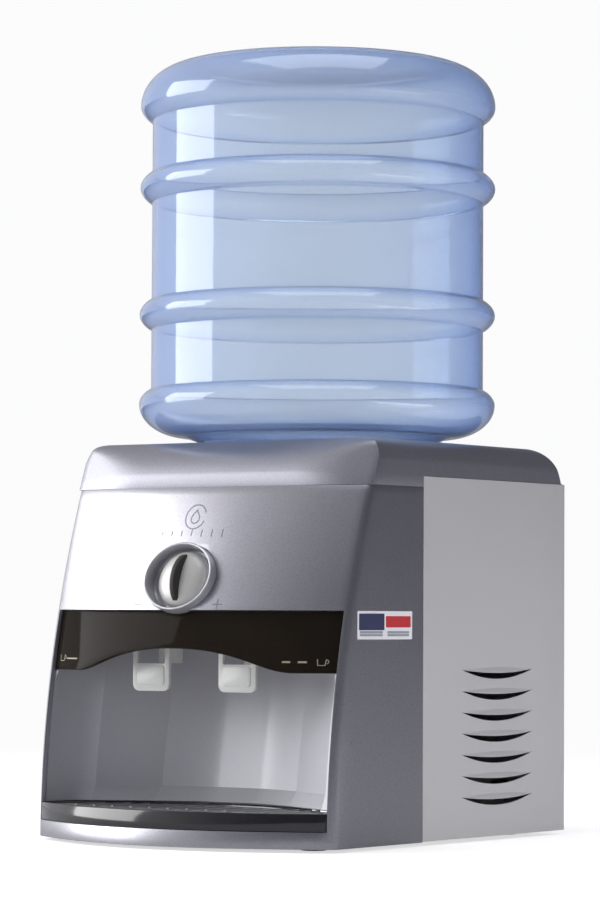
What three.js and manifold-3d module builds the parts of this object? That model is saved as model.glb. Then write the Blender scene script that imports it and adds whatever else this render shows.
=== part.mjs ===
// Countertop water dispenser with an inverted bottle, in millimetres, +Z up.
// X runs across the front and Y runs from the front to the back.
// Inside the machine group Y is measured from the two front corners and Z from the underside of
// the case; the group then moves so that the origin lies on the table under the middle.
import * as THREE from 'three';
import { mergeVertices } from 'three/addons/utils/BufferGeometryUtils.js';
import Module from 'manifold-3d';

const wasm = await Module();
wasm.setup();

// ---- driving dimensions ----------------------------------------------------------------------
const WIDTH = 268;              // case, across the front
const SIDE_DEPTH = 306.5;       // case, from a front corner to the back
const BOW_BASE = 47;            // how far the front bulges past its corners at the base
const BOW_SEAM = 22;            // the same where the cover meets the front
const LEAN = 45;                // set-back of the front corners at the cover seam
const SEAM_HEIGHT = 256.6;      // front moulding, base to cover seam
const COVER_RISE = 34.9;        // top of the cover above that seam
const CHEEK_DEPTH = 110;        // front moulding, from its corners to the metal panel
const PANEL_HEIGHT = 265;       // metal side panels
const WALL = 3;                 // moulded walls
const SHEET = 1.2;              // sheet-metal walls
const GAP = 0.3;                // clearance between pieces that touch
const STILE = 5;                // narrow uprights beside the alcove
const FOOT_HEIGHT = 2.5;        // feet below the case

const TRAY_BOTTOM = 12;         // silver strip under the drip tray
const TRAY_RIM = 25;            // top edge of the drip tray
const BAND_TOP = 167;           // lower edge of the front panel
const BAND_LOW = 123;           // lower edge of the smoked band at its ends
const BAND_ARCH = 17;           // how much higher that edge is in the middle
const ARCH_HALF = 98;           // half width of that arch
const ALCOVE_DEPTH = 70;        // back wall of the alcove, behind the front corners
const ALCOVE_FLAT = 42;         // half width of its flat back wall
const ALCOVE_LEAN = 10;         // degrees the back wall leans

const BOTTLE_RADIUS = 126;      // plain part of the bottle
const RIDGE = 9;                // how far each hoop stands out
const NECK_RADIUS = 27.5;
const NECK_LENGTH = 33;
const BOTTLE_WALL = 2;
const BOTTLE_HEIGHT = 344.5;    // from the neck's lip to the bottle's base

const TANK_RADIUS = 58;
const TANK_HEIGHT = 100;
const TANK_WALL = 1.5;
const FOAM = 9;                 // insulation around the tank
const TANK_ROOM = 28;           // from the alcove's back wall to that insulation
const KNOB_HEIGHT = 190;        // centre of the thermostat knob
const BEZEL_HALF_WIDTH = 30;
const BEZEL_HALF_HEIGHT = 26;
const DIAL_RADIUS = 22;
const TAP_SPACING = 78;         // between the two taps
const TAP_SHANK_HEIGHT = 150;   // inlets of the taps
const PADDLE_WIDTH = 33;
const PADDLE_LOW = 108;         // bottom edge of the paddles
const PADDLE_FACE = 12;         // front of the paddles, behind the front corners
const FAN_SIZE = 80;

// ---- sizes that follow -----------------------------------------------------------------------
const HALF = WIDTH / 2;
const BOTTLE_AXIS = ALCOVE_DEPTH + TANK_ROOM + FOAM + TANK_RADIUS;  // behind the front corners
const COVER_TOP = SEAM_HEIGHT + COVER_RISE;
const WINDOW_HALF = HALF - STILE;
const BAND_THICK = 3;
const CURVE_GAP = 0.6;          // clearance between curved faces that nest
const BAND_INSET = WALL + CURVE_GAP;
const LINER_INSET = BAND_INSET + BAND_THICK + CURVE_GAP;
const LINER_WALL = 1.7;
const CEILING = BAND_TOP + 1.5;
const SHELF = TRAY_BOTTOM - 3;
const LEDGE_TOP = TRAY_RIM + 11;

// ---- finishes --------------------------------------------------------------------------------
function finish(color, roughness, metalness = 0, opacity = 1) {
  const transparent = opacity < 1;
  return new THREE.MeshStandardMaterial({ color, roughness, metalness, opacity, transparent });
}
const silverPlastic = finish(0xc9c7cd, 0.38, 0.35);
const coverGrey = finish(0x77778a, 0.42, 0.3);
const linerGrey = finish(0xa4a8b4, 0.45, 0.1);
const smokedAcrylic = finish(0x2a241f, 0.12, 0, 0.85);
const glossBlack = finish(0x101012, 0.12);
const brushedSteel = finish(0xb9b8bc, 0.35, 0.9);
const bluePolycarbonate = finish(0xa9c4ea, 0.08, 0, 0.45);
const warmWhite = finish(0xf1efe8, 0.4);
const knobSilver = finish(0xd2d0ca, 0.3, 0.3);
const gripGrey = finish(0x4a4642, 0.45);
const foodPlastic = finish(0xe6e9ec, 0.5);
const rubber = finish(0x1c1c1e, 0.85);
const silicone = finish(0xdedcd4, 0.6);
const foam = finish(0xf4f4f2, 0.95);
const aluminium = finish(0xc4c6ca, 0.4, 0.95);
const ceramic = finish(0xefeee9, 0.6);
const fanBlack = finish(0x1f2022, 0.55);
const zincSteel = finish(0xa9adb0, 0.45, 0.85);
const boardGreen = finish(0x2c6b3f, 0.55);
const coilDark = finish(0x3a3130, 0.6);

// ---- building blocks -------------------------------------------------------------------------
function solidOf(geometry) {
  const bare = geometry.index ? geometry.toNonIndexed() : geometry.clone();
  bare.deleteAttribute('normal');
  bare.deleteAttribute('uv');
  const merged = mergeVertices(bare, 1e-4);
  const corners = merged.index.array;
  const kept = [];
  for (let i = 0; i < corners.length; i += 3) {
    const [a, b, c] = [corners[i], corners[i + 1], corners[i + 2]];
    if (a !== b && b !== c && c !== a) kept.push(a, b, c);
  }
  const place = merged.attributes.position;
  const [p, q, r] = [new THREE.Vector3(), new THREE.Vector3(), new THREE.Vector3()];
  let volume = 0;
  for (let i = 0; i < kept.length; i += 3) {
    p.fromBufferAttribute(place, kept[i]);
    q.fromBufferAttribute(place, kept[i + 1]);
    r.fromBufferAttribute(place, kept[i + 2]);
    volume += p.dot(q.cross(r));
  }
  if (volume < 0) {
    kept.reverse();
  }
  const vertProperties = new Float32Array(place.array);
  const triVerts = new Uint32Array(kept);
  return new wasm.Manifold(new wasm.Mesh({ numProp: 3, vertProperties, triVerts }));
}

function geometryOf(solid) {
  const mesh = solid.getMesh();
  const spots = new THREE.BufferAttribute(new Float32Array(mesh.vertProperties), 3);
  const geometry = new THREE.BufferGeometry();
  geometry.setAttribute('position', spots);
  geometry.setIndex(new THREE.BufferAttribute(new Uint32Array(mesh.triVerts), 1));
  geometry.computeVertexNormals();
  return geometry;
}

// A flat shape raised through a list of heights.
function raised(shape, levels, curveSegments = 16) {
  const steps = levels.length - 1;
  const settings = { depth: steps, steps, bevelEnabled: false, curveSegments };
  const geometry = new THREE.ExtrudeGeometry(shape, settings);
  const place = geometry.attributes.position;
  for (let i = 0; i < place.count; i += 1) {
    place.setZ(i, levels[Math.round(place.getZ(i))]);
  }
  return geometry;
}

// A shape drawn in X and Z, extruded from one Y to another.
function throughY(shape, from, to, curveSegments = 12) {
  const settings = { depth: to - from, bevelEnabled: false, curveSegments };
  const geometry = new THREE.ExtrudeGeometry(shape, settings);
  return geometry.rotateX(Math.PI / 2).translate(0, to, 0);
}

// A shape drawn in Y and Z, extruded from one X to another.
function throughX(shape, from, to, curveSegments = 12) {
  const settings = { depth: to - from, bevelEnabled: false, curveSegments };
  const geometry = new THREE.ExtrudeGeometry(shape, settings);
  return geometry.rotateZ(Math.PI / 2).rotateY(Math.PI / 2).translate(from, 0, 0);
}

// A profile of radius and height turned about Z.
function turned(points, segments = 24) {
  const profile = points.map(([x, y]) => new THREE.Vector2(x, y));
  return new THREE.LatheGeometry(profile, segments).rotateX(Math.PI / 2);
}

function ring(inner, outer, low, high, segments = 24) {
  return turned([[inner, low], [outer, low], [outer, high], [inner, high], [inner, low]], segments);
}

function block(x0, x1, y0, y1, z0, z1) {
  const geometry = new THREE.BoxGeometry(x1 - x0, y1 - y0, z1 - z0);
  return geometry.translate((x0 + x1) / 2, (y0 + y1) / 2, (z0 + z1) / 2);
}

// Round bars along each axis.
function barZ(radius, x, y, z0, z1, segments = 16) {
  const geometry = new THREE.CylinderGeometry(radius, radius, z1 - z0, segments);
  return geometry.rotateX(Math.PI / 2).translate(x, y, (z0 + z1) / 2);
}
function barY(radius, x, z, y0, y1, segments = 16) {
  const geometry = new THREE.CylinderGeometry(radius, radius, y1 - y0, segments);
  return geometry.translate(x, (y0 + y1) / 2, z);
}
function barX(radius, y, z, x0, x1, segments = 16) {
  const geometry = new THREE.CylinderGeometry(radius, radius, x1 - x0, segments);
  return geometry.rotateZ(Math.PI / 2).translate((x0 + x1) / 2, y, z);
}

// A round hose or wire along a smooth curve.
function tube(points, radius, steps, sides = 10) {
  const extrudePath = new THREE.CatmullRomCurve3(points.map(([x, y, z]) => new THREE.Vector3(x, y, z)));
  const section = new THREE.Shape().absarc(0, 0, radius, 0, Math.PI * 2);
  return new THREE.ExtrudeGeometry(section, { steps, extrudePath, curveSegments: sides / 2 });
}

function joined(...geometries) {
  return geometries.map(solidOf).reduce((whole, next) => whole.add(next));
}
function cut(solid, ...geometries) {
  return geometries.map(solidOf).reduce((whole, next) => whole.subtract(next), solid);
}
function spread(from, to, count) {
  return Array.from({ length: count }, (_, i) => from + (to - from) * i / (count - 1));
}

const dispenser = new THREE.Group();
const machine = new THREE.Group();
machine.position.set(0, (BOW_BASE - SIDE_DEPTH) / 2, FOOT_HEIGHT);
dispenser.add(machine);

function place(name, shape, material, parent = machine) {
  const geometry = shape.isBufferGeometry ? geometryOf(solidOf(shape)) : geometryOf(shape);
  const mesh = new THREE.Mesh(geometry, material);
  mesh.name = name;
  parent.add(mesh);
  return mesh;
}

// ---- the case's shape ------------------------------------------------------------------------
// The front leans back on a curve and its bulge flattens as it rises. Everything that follows the
// front is drawn upright and then leaned; the cheeks' back edges stay upright.
const bowAt = (z) => BOW_BASE + (BOW_SEAM - BOW_BASE) * z / SEAM_HEIGHT;
const leanAt = (z) => LEAN * (z / SEAM_HEIGHT) ** 2;
const bulge = (x) => 1 - (x / HALF) ** 2;
const frontAt = (x, z) => leanAt(z) - bowAt(z) * bulge(x);

function leaned(geometry) {
  const spots = geometry.attributes.position;
  for (let i = 0; i < spots.count; i += 1) {
    const [x, y, z] = [spots.getX(i), spots.getY(i), spots.getZ(i)];
    const share = THREE.MathUtils.clamp((CHEEK_DEPTH - y) / CHEEK_DEPTH, 0, 1);
    spots.setY(i, y + share * (leanAt(z) + (BOW_BASE - bowAt(z)) * bulge(x)));
  }
  return geometry;
}

// The plan of the case: a bowed front, set in by `inset`, closed by a straight back.
function bowedPlan(halfWidth, inset, back) {
  const end = -BOW_BASE * bulge(halfWidth) + inset;
  const plan = new THREE.Shape();
  plan.moveTo(-halfWidth, back);
  plan.lineTo(-halfWidth, end);
  plan.quadraticCurveTo(0, 2 * (inset - BOW_BASE) - end, halfWidth, end);
  plan.lineTo(halfWidth, back);
  plan.closePath();
  return plan;
}

// The oval hole for the knob's bezel, square to the front at the knob's height.
const knobSlope = 2 * LEAN * KNOB_HEIGHT / SEAM_HEIGHT ** 2 + (BOW_BASE - BOW_SEAM) / SEAM_HEIGHT;
const knobTilt = Math.atan(knobSlope);
const knob = new THREE.Group();
knob.position.set(0, frontAt(0, KNOB_HEIGHT), KNOB_HEIGHT);
knob.rotation.x = Math.PI / 2 - knobTilt;
machine.add(knob);
knob.updateMatrix();

function bezelHole() {
  const oval = new THREE.Shape();
  oval.absellipse(0, 0, BEZEL_HALF_WIDTH + GAP, BEZEL_HALF_HEIGHT + GAP, 0, Math.PI * 2);
  return raised(oval, [-18, 20], 20).applyMatrix4(knob.matrix);
}

// ---- front moulding: lower strip, cheeks, uprights and upper panel in one piece ---------------
const frontLevels = spread(0, SEAM_HEIGHT, 9);
const overLevels = spread(-SEAM_HEIGHT / 8, SEAM_HEIGHT * 9 / 8, 11);
const frontOuter = solidOf(leaned(raised(bowedPlan(HALF, 0, CHEEK_DEPTH), frontLevels)));
const frontInner = leaned(raised(bowedPlan(HALF - WALL, WALL, CHEEK_DEPTH + 20), overLevels));
const ahead = -BOW_BASE * 2;
const alcoveWindow = block(-WINDOW_HALF, WINDOW_HALF, ahead, LEAN * 1.5, TRAY_BOTTOM, BAND_TOP);
place('front_moulding', cut(frontOuter, frontInner, alcoveWindow, bezelHole()), silverPlastic);

// ---- smoked band across the top of the alcove -------------------------------------------------
const bandStrip = bowedPlan(HALF - WALL - GAP, BAND_INSET, CHEEK_DEPTH);
const bandLevels = spread(BAND_LOW - 8, BAND_TOP + 6, 4);
const bandOuter = solidOf(leaned(raised(bandStrip, bandLevels)));
const bandLining = bowedPlan(HALF, BAND_INSET + BAND_THICK, CHEEK_DEPTH + 1);
const archTop = BAND_LOW + BAND_ARCH;
const bandFace = new THREE.Shape();
bandFace.moveTo(-HALF, BAND_TOP + 5);
bandFace.lineTo(-HALF, BAND_LOW);
bandFace.lineTo(-ARCH_HALF, BAND_LOW);
bandFace.bezierCurveTo(-ARCH_HALF * 0.75, BAND_LOW, -ARCH_HALF * 0.6, archTop, 0, archTop);
bandFace.bezierCurveTo(ARCH_HALF * 0.6, archTop, ARCH_HALF * 0.75, BAND_LOW, ARCH_HALF, BAND_LOW);
bandFace.lineTo(HALF, BAND_LOW);
bandFace.lineTo(HALF, BAND_TOP + 5);
bandFace.closePath();
const bandPlate = cut(bandOuter, leaned(raised(bandLining, spread(BAND_LOW - 9, BAND_TOP + 7, 4))));
const bandShape = bandPlate.intersect(solidOf(throughY(bandFace, ahead, 40)));
place('smoked_band', cut(bandShape, bezelHole()), smokedAcrylic);

// ---- drip tray and grille ---------------------------------------------------------------------
// Both are lenses in plan: the bowed front and an arched back edge.
const TRAY_BACK = 56;
const TRAY_HALF = WINDOW_HALF - 3 * GAP;
function lens(inset) {
  const half = TRAY_HALF - inset * 1.6;
  const end = -BOW_BASE * bulge(half) + inset;
  const backEnd = end + 8;
  const plan = new THREE.Shape();
  plan.moveTo(-half, backEnd);
  plan.lineTo(-half, end);
  plan.quadraticCurveTo(0, 2 * (inset - BOW_BASE) - end, half, end);
  plan.lineTo(half, backEnd);
  plan.quadraticCurveTo(half * 0.5, TRAY_BACK - inset, 0, TRAY_BACK - inset);
  plan.quadraticCurveTo(-half * 0.5, TRAY_BACK - inset, -half, backEnd);
  plan.closePath();
  return plan;
}
const GRILLE_SINK = 1;
const GRILLE_THICK = 2;
const TRAY_LIP = 2.5;
const grilleTop = TRAY_RIM - GRILLE_SINK;
const trayBlank = solidOf(leaned(raised(lens(0), [TRAY_BOTTOM + GAP, TRAY_RIM])));
const trayBasin = leaned(raised(lens(TRAY_LIP * 2), [TRAY_BOTTOM + 3, TRAY_RIM + 1]));
const trayRebate = leaned(raised(lens(TRAY_LIP), [grilleTop - GRILLE_THICK - GAP, TRAY_RIM + 1]));
place('drip_tray', cut(trayBlank, trayBasin, trayRebate), glossBlack);

const grillePlan = lens(TRAY_LIP + GAP * 2);
const grilleBlank = solidOf(leaned(raised(grillePlan, [grilleTop - GRILLE_THICK, grilleTop])));
const slots = [];
const SLOT_PITCH = 17;
for (let column = -5; column <= 5; column += 1) {
  for (const y of [-14, 2, 18]) {
    const x = column * SLOT_PITCH;
    if (y - 12 > frontAt(x, TRAY_RIM) + 6) slots.push(block(x - 2, x + 2, y - 6, y + 6, 0, TRAY_RIM + 5));
  }
}
place('drip_grille', cut(grilleBlank, ...slots), silverPlastic);

// ---- alcove liner: shelf, cove, flared side walls, back wall and ceiling ----------------------
const alcoveSlope = Math.tan(THREE.MathUtils.degToRad(ALCOVE_LEAN));
function alcovePlan(grow) {
  const half = WINDOW_HALF + grow;
  const depth = ALCOVE_DEPTH + grow;
  const elbow = half - 21;
  const flat = ALCOVE_FLAT + grow * 0.5;
  const plan = new THREE.Shape();
  plan.moveTo(-half, -BOW_BASE * 1.5);
  plan.lineTo(-half, grow);
  plan.quadraticCurveTo(-half, 20 + grow, -elbow + 3, 31 + grow);
  plan.lineTo(-flat - 20, depth - 14);
  plan.quadraticCurveTo(-flat, depth, -flat + 24, depth);
  plan.lineTo(flat - 24, depth);
  plan.quadraticCurveTo(flat, depth, flat + 20, depth - 14);
  plan.lineTo(elbow - 3, 31 + grow);
  plan.quadraticCurveTo(half, 20 + grow, half, grow);
  plan.lineTo(half, -BOW_BASE * 1.5);
  plan.closePath();
  return plan;
}
// The back wall leans above the cove and draws in towards the tray below it; the side walls follow
// the lean of the front.
function alcoveLeaned(geometry, coved) {
  const spots = geometry.attributes.position;
  for (let i = 0; i < spots.count; i += 1) {
    const [y, z] = [spots.getY(i), spots.getZ(i)];
    const share = THREE.MathUtils.clamp(y / ALCOVE_DEPTH, 0, 1);
    const rise = z - LEDGE_TOP;
    const shift = rise > 0 ? rise * alcoveSlope : (coved ? rise : 0);
    spots.setY(i, y + share * shift + (1 - share) * leanAt(z));
  }
  return geometry;
}
const linerLevels = [SHELF, LEDGE_TOP, (LEDGE_TOP + CEILING) / 2, CEILING + 2];
const cavityLevels = [TRAY_RIM + GAP, LEDGE_TOP, (LEDGE_TOP + CEILING) / 2, CEILING];
const linerBlank = solidOf(alcoveLeaned(raised(alcovePlan(LINER_WALL), linerLevels, 8), false));
const behindFront = bowedPlan(HALF - WALL - GAP, BAND_INSET, CHEEK_DEPTH * 2);
const behindBand = bowedPlan(HALF - WALL - GAP, LINER_INSET, CHEEK_DEPTH * 2);
const underBand = solidOf(leaned(raised(behindFront, spread(0, BAND_LOW - 2, 6))));
const linerReach = underBand.add(solidOf(leaned(raised(behindBand, spread(0, CEILING + 10, 7)))));
const linerFronted = linerBlank.intersect(linerReach);
const alcoveCavity = alcoveLeaned(raised(alcovePlan(0), cavityLevels, 8), true);
const trayPocket = leaned(raised(lens(-GAP), [TRAY_BOTTOM, LEDGE_TOP]));

const tapX = TAP_SPACING / 2;
const SHANK_RADIUS = 7;
const linerWallAt = (z) => ALCOVE_DEPTH + (z - LEDGE_TOP) * alcoveSlope;
const shankHoles = [-tapX, tapX].map((x) => barY(SHANK_RADIUS + GAP, x, TAP_SHANK_HEIGHT, 40, 130));
place('alcove_liner', cut(linerFronted, alcoveCavity, trayPocket, bezelHole(), ...shankHoles), linerGrey);

// ---- taps: body, sprung stem and the paddle that lifts it -------------------------------------
const TAP_AXIS = PADDLE_FACE + 24;      // spout, behind the front corners
const TAP_RADIUS = 9;
const TAP_LOW = 128;
const TAP_HIGH = TAP_SHANK_HEIGHT + 8;
const BORE = 6;
const SEAT_BORE = 4.2;
const SEAT_HEIGHT = TAP_LOW + 5;
const SPRING_ROOM = TAP_HIGH - 3;       // underside of the tap's cap
const STEM_RADIUS = 2.2;
const PLUNGER_HIGH = SEAT_HEIGHT + 4;
const HINGE_Y = PADDLE_FACE + 8;
const HINGE_Z = TAP_HIGH - 2;
const HINGE_BOSS = 4;
const PIN_RADIUS = 1.8;
const PADDLE_SHEET = 2.5;
const STRAP = 3.9;                      // uprights of the paddle
const tongueLow = HINGE_Z + HINGE_BOSS + 0.6;
const TONGUE_THICK = 2.2;
const bossHalf = PADDLE_WIDTH / 2 - STRAP - GAP;
const shankBack = linerWallAt(TAP_SHANK_HEIGHT) + LINER_WALL + 12;

function tapBody() {
  const barrel = barZ(TAP_RADIUS, 0, TAP_AXIS, TAP_LOW, TAP_HIGH);
  const shank = barY(SHANK_RADIUS, 0, TAP_SHANK_HEIGHT, TAP_AXIS + 2, shankBack);
  const flange = barY(SHANK_RADIUS + 5, 0, TAP_SHANK_HEIGHT, TAP_AXIS + 18, TAP_AXIS + 21);
  const boss = barX(HINGE_BOSS, HINGE_Y, HINGE_Z, -bossHalf, bossHalf);
  const web = block(-4, 4, HINGE_Y, TAP_AXIS, HINGE_Z - HINGE_BOSS - 4, HINGE_Z);
  const bore = barZ(BORE, 0, TAP_AXIS, SEAT_HEIGHT, SPRING_ROOM);
  const nozzle = barZ(SEAT_BORE, 0, TAP_AXIS, TAP_LOW - 1, SEAT_HEIGHT + 1);
  const stemHole = barZ(STEM_RADIUS + GAP, 0, TAP_AXIS, SPRING_ROOM - 1, TAP_HIGH + 1);
  const waterway = barY(4, 0, TAP_SHANK_HEIGHT, TAP_AXIS, shankBack + 1, 16);
  const pinHole = barX(PIN_RADIUS + GAP, HINGE_Y, HINGE_Z, -bossHalf - 1, bossHalf + 1, 14);
  return cut(joined(barrel, shank, flange, boss, web), bore, nozzle, stemHole, waterway, pinHole);
}

function tapStem() {
  const rod = barZ(STEM_RADIUS, 0, TAP_AXIS, SEAT_HEIGHT + GAP, tongueLow + TONGUE_THICK + 1, 14);
  const plunger = barZ(BORE - 0.6, 0, TAP_AXIS, SEAT_HEIGHT + GAP, PLUNGER_HIGH);
  const headLow = tongueLow + TONGUE_THICK + GAP;
  const head = barZ(STEM_RADIUS + 2.4, 0, TAP_AXIS, headLow, headLow + 1.5, 14);
  return joined(rod, plunger, head);
}

function tapSpring() {
  const WIRE = 0.5;
  const coilRadius = (STEM_RADIUS + BORE) / 2;
  const [low, high] = [PLUNGER_HIGH + GAP + WIRE, SPRING_ROOM - GAP - WIRE];
  const TURNS = 4;
  const points = spread(0, 1, TURNS * 8 + 1).map((share) => {
    const angle = share * TURNS * Math.PI * 2;
    const height = low + share * (high - low);
    return [coilRadius * Math.cos(angle), TAP_AXIS + coilRadius * Math.sin(angle), height];
  });
  return tube(points, WIRE, TURNS * 8, 6);
}

function tapLever() {
  const half = PADDLE_WIDTH / 2;
  const face = new THREE.Shape();
  const corner = 6;
  face.moveTo(-half, tongueLow + TONGUE_THICK);
  face.lineTo(-half, PADDLE_LOW + corner);
  face.quadraticCurveTo(-half, PADDLE_LOW, -half + corner, PADDLE_LOW);
  face.lineTo(half - corner, PADDLE_LOW);
  face.quadraticCurveTo(half, PADDLE_LOW, half, PADDLE_LOW + corner);
  face.lineTo(half, tongueLow + TONGUE_THICK);
  face.closePath();
  const plate = throughY(face, PADDLE_FACE, PADDLE_FACE + PADDLE_SHEET, 6);
  const windowLow = PADDLE_LOW + 20;
  const plateBack = PADDLE_FACE + PADDLE_SHEET;
  const inner = half - STRAP;
  const window = block(-inner, inner, PADDLE_FACE - 1, plateBack + 1, windowLow, tongueLow);
  const frame = cut(solidOf(plate), window);
  const cheek = (side) => {
    const [x0, x1] = side > 0 ? [inner, half] : [-half, -inner];
    return block(x0, x1, PADDLE_FACE + 1, HINGE_Y + 4, HINGE_Z - 5, tongueLow + TONGUE_THICK);
  };
  const pins = [[-inner - 1, -inner + 4], [inner - 4, inner + 1]];
  const bridge = block(-half, half, PADDLE_FACE, HINGE_Y + 4, tongueLow, tongueLow + TONGUE_THICK);
  const tongue = block(-7, 7, HINGE_Y + 3, TAP_AXIS + 5.5, tongueLow, tongueLow + TONGUE_THICK);
  const slot = barZ(STEM_RADIUS + 1.6, 0, TAP_AXIS, tongueLow - 1, tongueLow + TONGUE_THICK + 1);
  const studs = pins.map(([x0, x1]) => solidOf(barX(PIN_RADIUS, HINGE_Y, HINGE_Z, x0, x1, 14)));
  const whole = frame.add(joined(cheek(-1), bridge, tongue)).add(solidOf(cheek(1)));
  return cut(studs.reduce((sum, stud) => sum.add(stud), whole), slot);
}

const SEAL_THICK = 2;
const sealFront = linerWallAt(TAP_SHANK_HEIGHT) + LINER_WALL + 2.2;
const nutFront = sealFront + SEAL_THICK + GAP;
for (const [side, x] of [['left', -tapX], ['right', tapX]]) {
  const tap = new THREE.Group();
  tap.position.x = x;
  machine.add(tap);
  place(`tap_body_${side}`, tapBody(), warmWhite, tap);
  place(`tap_stem_${side}`, tapStem(), foodPlastic, tap);
  place(`tap_spring_${side}`, tapSpring(), brushedSteel, tap);
  place(`tap_lever_${side}`, tapLever(), warmWhite, tap);
  const seal = ring(SHANK_RADIUS + GAP, SHANK_RADIUS + 4, 0, SEAL_THICK).rotateX(-Math.PI / 2);
  place(`tap_seal_${side}`, seal.translate(0, sealFront, TAP_SHANK_HEIGHT), silicone, tap);
  const nut = solidOf(barY(12, 0, TAP_SHANK_HEIGHT, nutFront, nutFront + 5, 6));
  const thread = barY(SHANK_RADIUS + GAP, 0, TAP_SHANK_HEIGHT, nutFront - 1, nutFront + 6, 20);
  place(`tap_nut_${side}`, cut(nut, thread), foodPlastic, tap);
}

// ---- thermostat knob: bezel well, dial with its grip, shaft and switch ------------------------
// Drawn square to the front: Z points out of the panel and the panel's face is at Z = 0.
const WELL_BACK = -9.5;
const WELL_RIM = 5;
const WELL_WALL = 1.8;
const SHAFT_RADIUS = 3;
const DIAL_EDGE = 3;
const DIAL_DOME = 8;
const GRIP_THICK = 6;
const GRIP_REACH = 6;           // grip above the top of the dome
const SWITCH_DEPTH = 12;
const dialFloor = WELL_BACK + 2.5;
const dialBack = dialFloor + 2 * GAP;
const dialTop = dialBack + DIAL_EDGE + DIAL_DOME;

const bezelStretch = BEZEL_HALF_WIDTH / BEZEL_HALF_HEIGHT;
const wellProfile = [[0, WELL_BACK], [BEZEL_HALF_HEIGHT - 2, WELL_BACK], [BEZEL_HALF_HEIGHT, WELL_BACK + 2],
  [BEZEL_HALF_HEIGHT, WELL_RIM - 1], [BEZEL_HALF_HEIGHT - 0.5, WELL_RIM], [0, WELL_RIM]];
const wellBlank = turned(wellProfile, 32).scale(bezelStretch, 1, 1);
const recessRadius = BEZEL_HALF_HEIGHT - WELL_WALL;
const recessProfile = [[0, dialFloor], [recessRadius, dialFloor], [recessRadius, WELL_RIM + 1],
  [0, WELL_RIM + 1]];
const wellRecess = turned(recessProfile, 32).scale(bezelStretch, 1, 1);
const shaftHole = barZ(SHAFT_RADIUS + GAP, 0, 0, WELL_BACK - 1, dialFloor + 1, 16);
place('knob_well', cut(solidOf(wellBlank), wellRecess, shaftHole), silverPlastic, knob);

const domeAngles = spread(0, Math.PI / 2, 6);
const domeBase = dialTop - DIAL_DOME;
const domeProfile = domeAngles.map((a) => [DIAL_RADIUS * Math.cos(a), domeBase + DIAL_DOME * Math.sin(a)]);
const dialProfile = (grow) => [[0, dialBack - grow], [DIAL_RADIUS + grow, dialBack - grow],
  ...domeProfile.slice(0, -1).map(([r, z]) => [r + grow, z + grow]), [0, dialTop + grow]];
const dialShaftHole = barZ(SHAFT_RADIUS + GAP, 0, 0, dialBack - 1, dialBack + 5, 16);
place('dial_knob', cut(solidOf(turned(dialProfile(0))), dialShaftHole), knobSilver, knob);

const gripFace = new THREE.Shape();
gripFace.absellipse(0, domeBase, DIAL_RADIUS * 0.85, DIAL_DOME + GRIP_REACH, 0, Math.PI);
const gripBlank = solidOf(throughX(gripFace, -GRIP_THICK / 2, GRIP_THICK / 2));
place('dial_grip', cut(gripBlank, turned(dialProfile(GAP))), gripGrey, knob);

const switchFront = WELL_BACK - GAP;
place('thermostat_shaft', barZ(SHAFT_RADIUS, 0, 0, switchFront - 5, dialBack + 4.5, 16), zincSteel, knob);
const switchBlank = solidOf(barZ(10, 0, 0, switchFront - SWITCH_DEPTH, switchFront, 24));
const switchBore = barZ(SHAFT_RADIUS + GAP, 0, 0, switchFront - 6, switchFront + 1, 16);
place('thermostat_switch', cut(switchBlank, switchBore), coilDark, knob);

// ---- bottle, seat and tank, on one upright axis -----------------------------------------------
const axis = new THREE.Group();
axis.position.y = BOTTLE_AXIS;
machine.add(axis);

const NECK_LIP = COVER_TOP - 54;
const neckRoot = NECK_LIP + NECK_LENGTH;
const SHOULDER_RADIUS = 100;
const SHOULDER_RISE = 26.5;
const coneSlope = SHOULDER_RISE / (SHOULDER_RADIUS - NECK_RADIUS);
const coneAt = (radius) => neckRoot + coneSlope * (radius - NECK_RADIUS);
const bottleTop = NECK_LIP + BOTTLE_HEIGHT;
const hoopHeights = [85.5, 153.5, 250.1].map((z) => NECK_LIP + z);
const topHoop = bottleTop - 32;
const hoopRadius = BOTTLE_RADIUS + RIDGE;

function hoop(z) {
  return [[BOTTLE_RADIUS, z - 11], [hoopRadius - 2, z - 6], [hoopRadius, z], [hoopRadius - 2, z + 6],
    [BOTTLE_RADIUS, z + 11]];
}
// A quarter of an ellipse, from the end of the cone out to the lowest hoop or over the top edge.
function rounding(start, end, radius, height, rise) {
  return spread(start, end, 6).map((a) => {
    return [radius + (hoopRadius - radius) * Math.cos(a), height + rise * Math.sin(a)];
  });
}
const shoulderDrop = hoopHeights[0] - coneAt(SHOULDER_RADIUS) - 1;
const shoulderRound = rounding(-Math.PI / 2, 0, SHOULDER_RADIUS, hoopHeights[0], shoulderDrop);
const topRound = rounding(0, Math.PI / 2, 96, topHoop, bottleTop - topHoop);
const bottleOuter = [
  [NECK_RADIUS, NECK_LIP], [NECK_RADIUS, neckRoot], ...shoulderRound,
  [hoopRadius - 2, hoopHeights[0] + 6], [BOTTLE_RADIUS, hoopHeights[0] + 11],
  ...hoop(hoopHeights[1]), ...hoop(hoopHeights[2]),
  [BOTTLE_RADIUS, topHoop - 11], [hoopRadius - 2, topHoop - 6], ...topRound,
  [70, bottleTop - 4], [0, bottleTop - 6],
];
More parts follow.
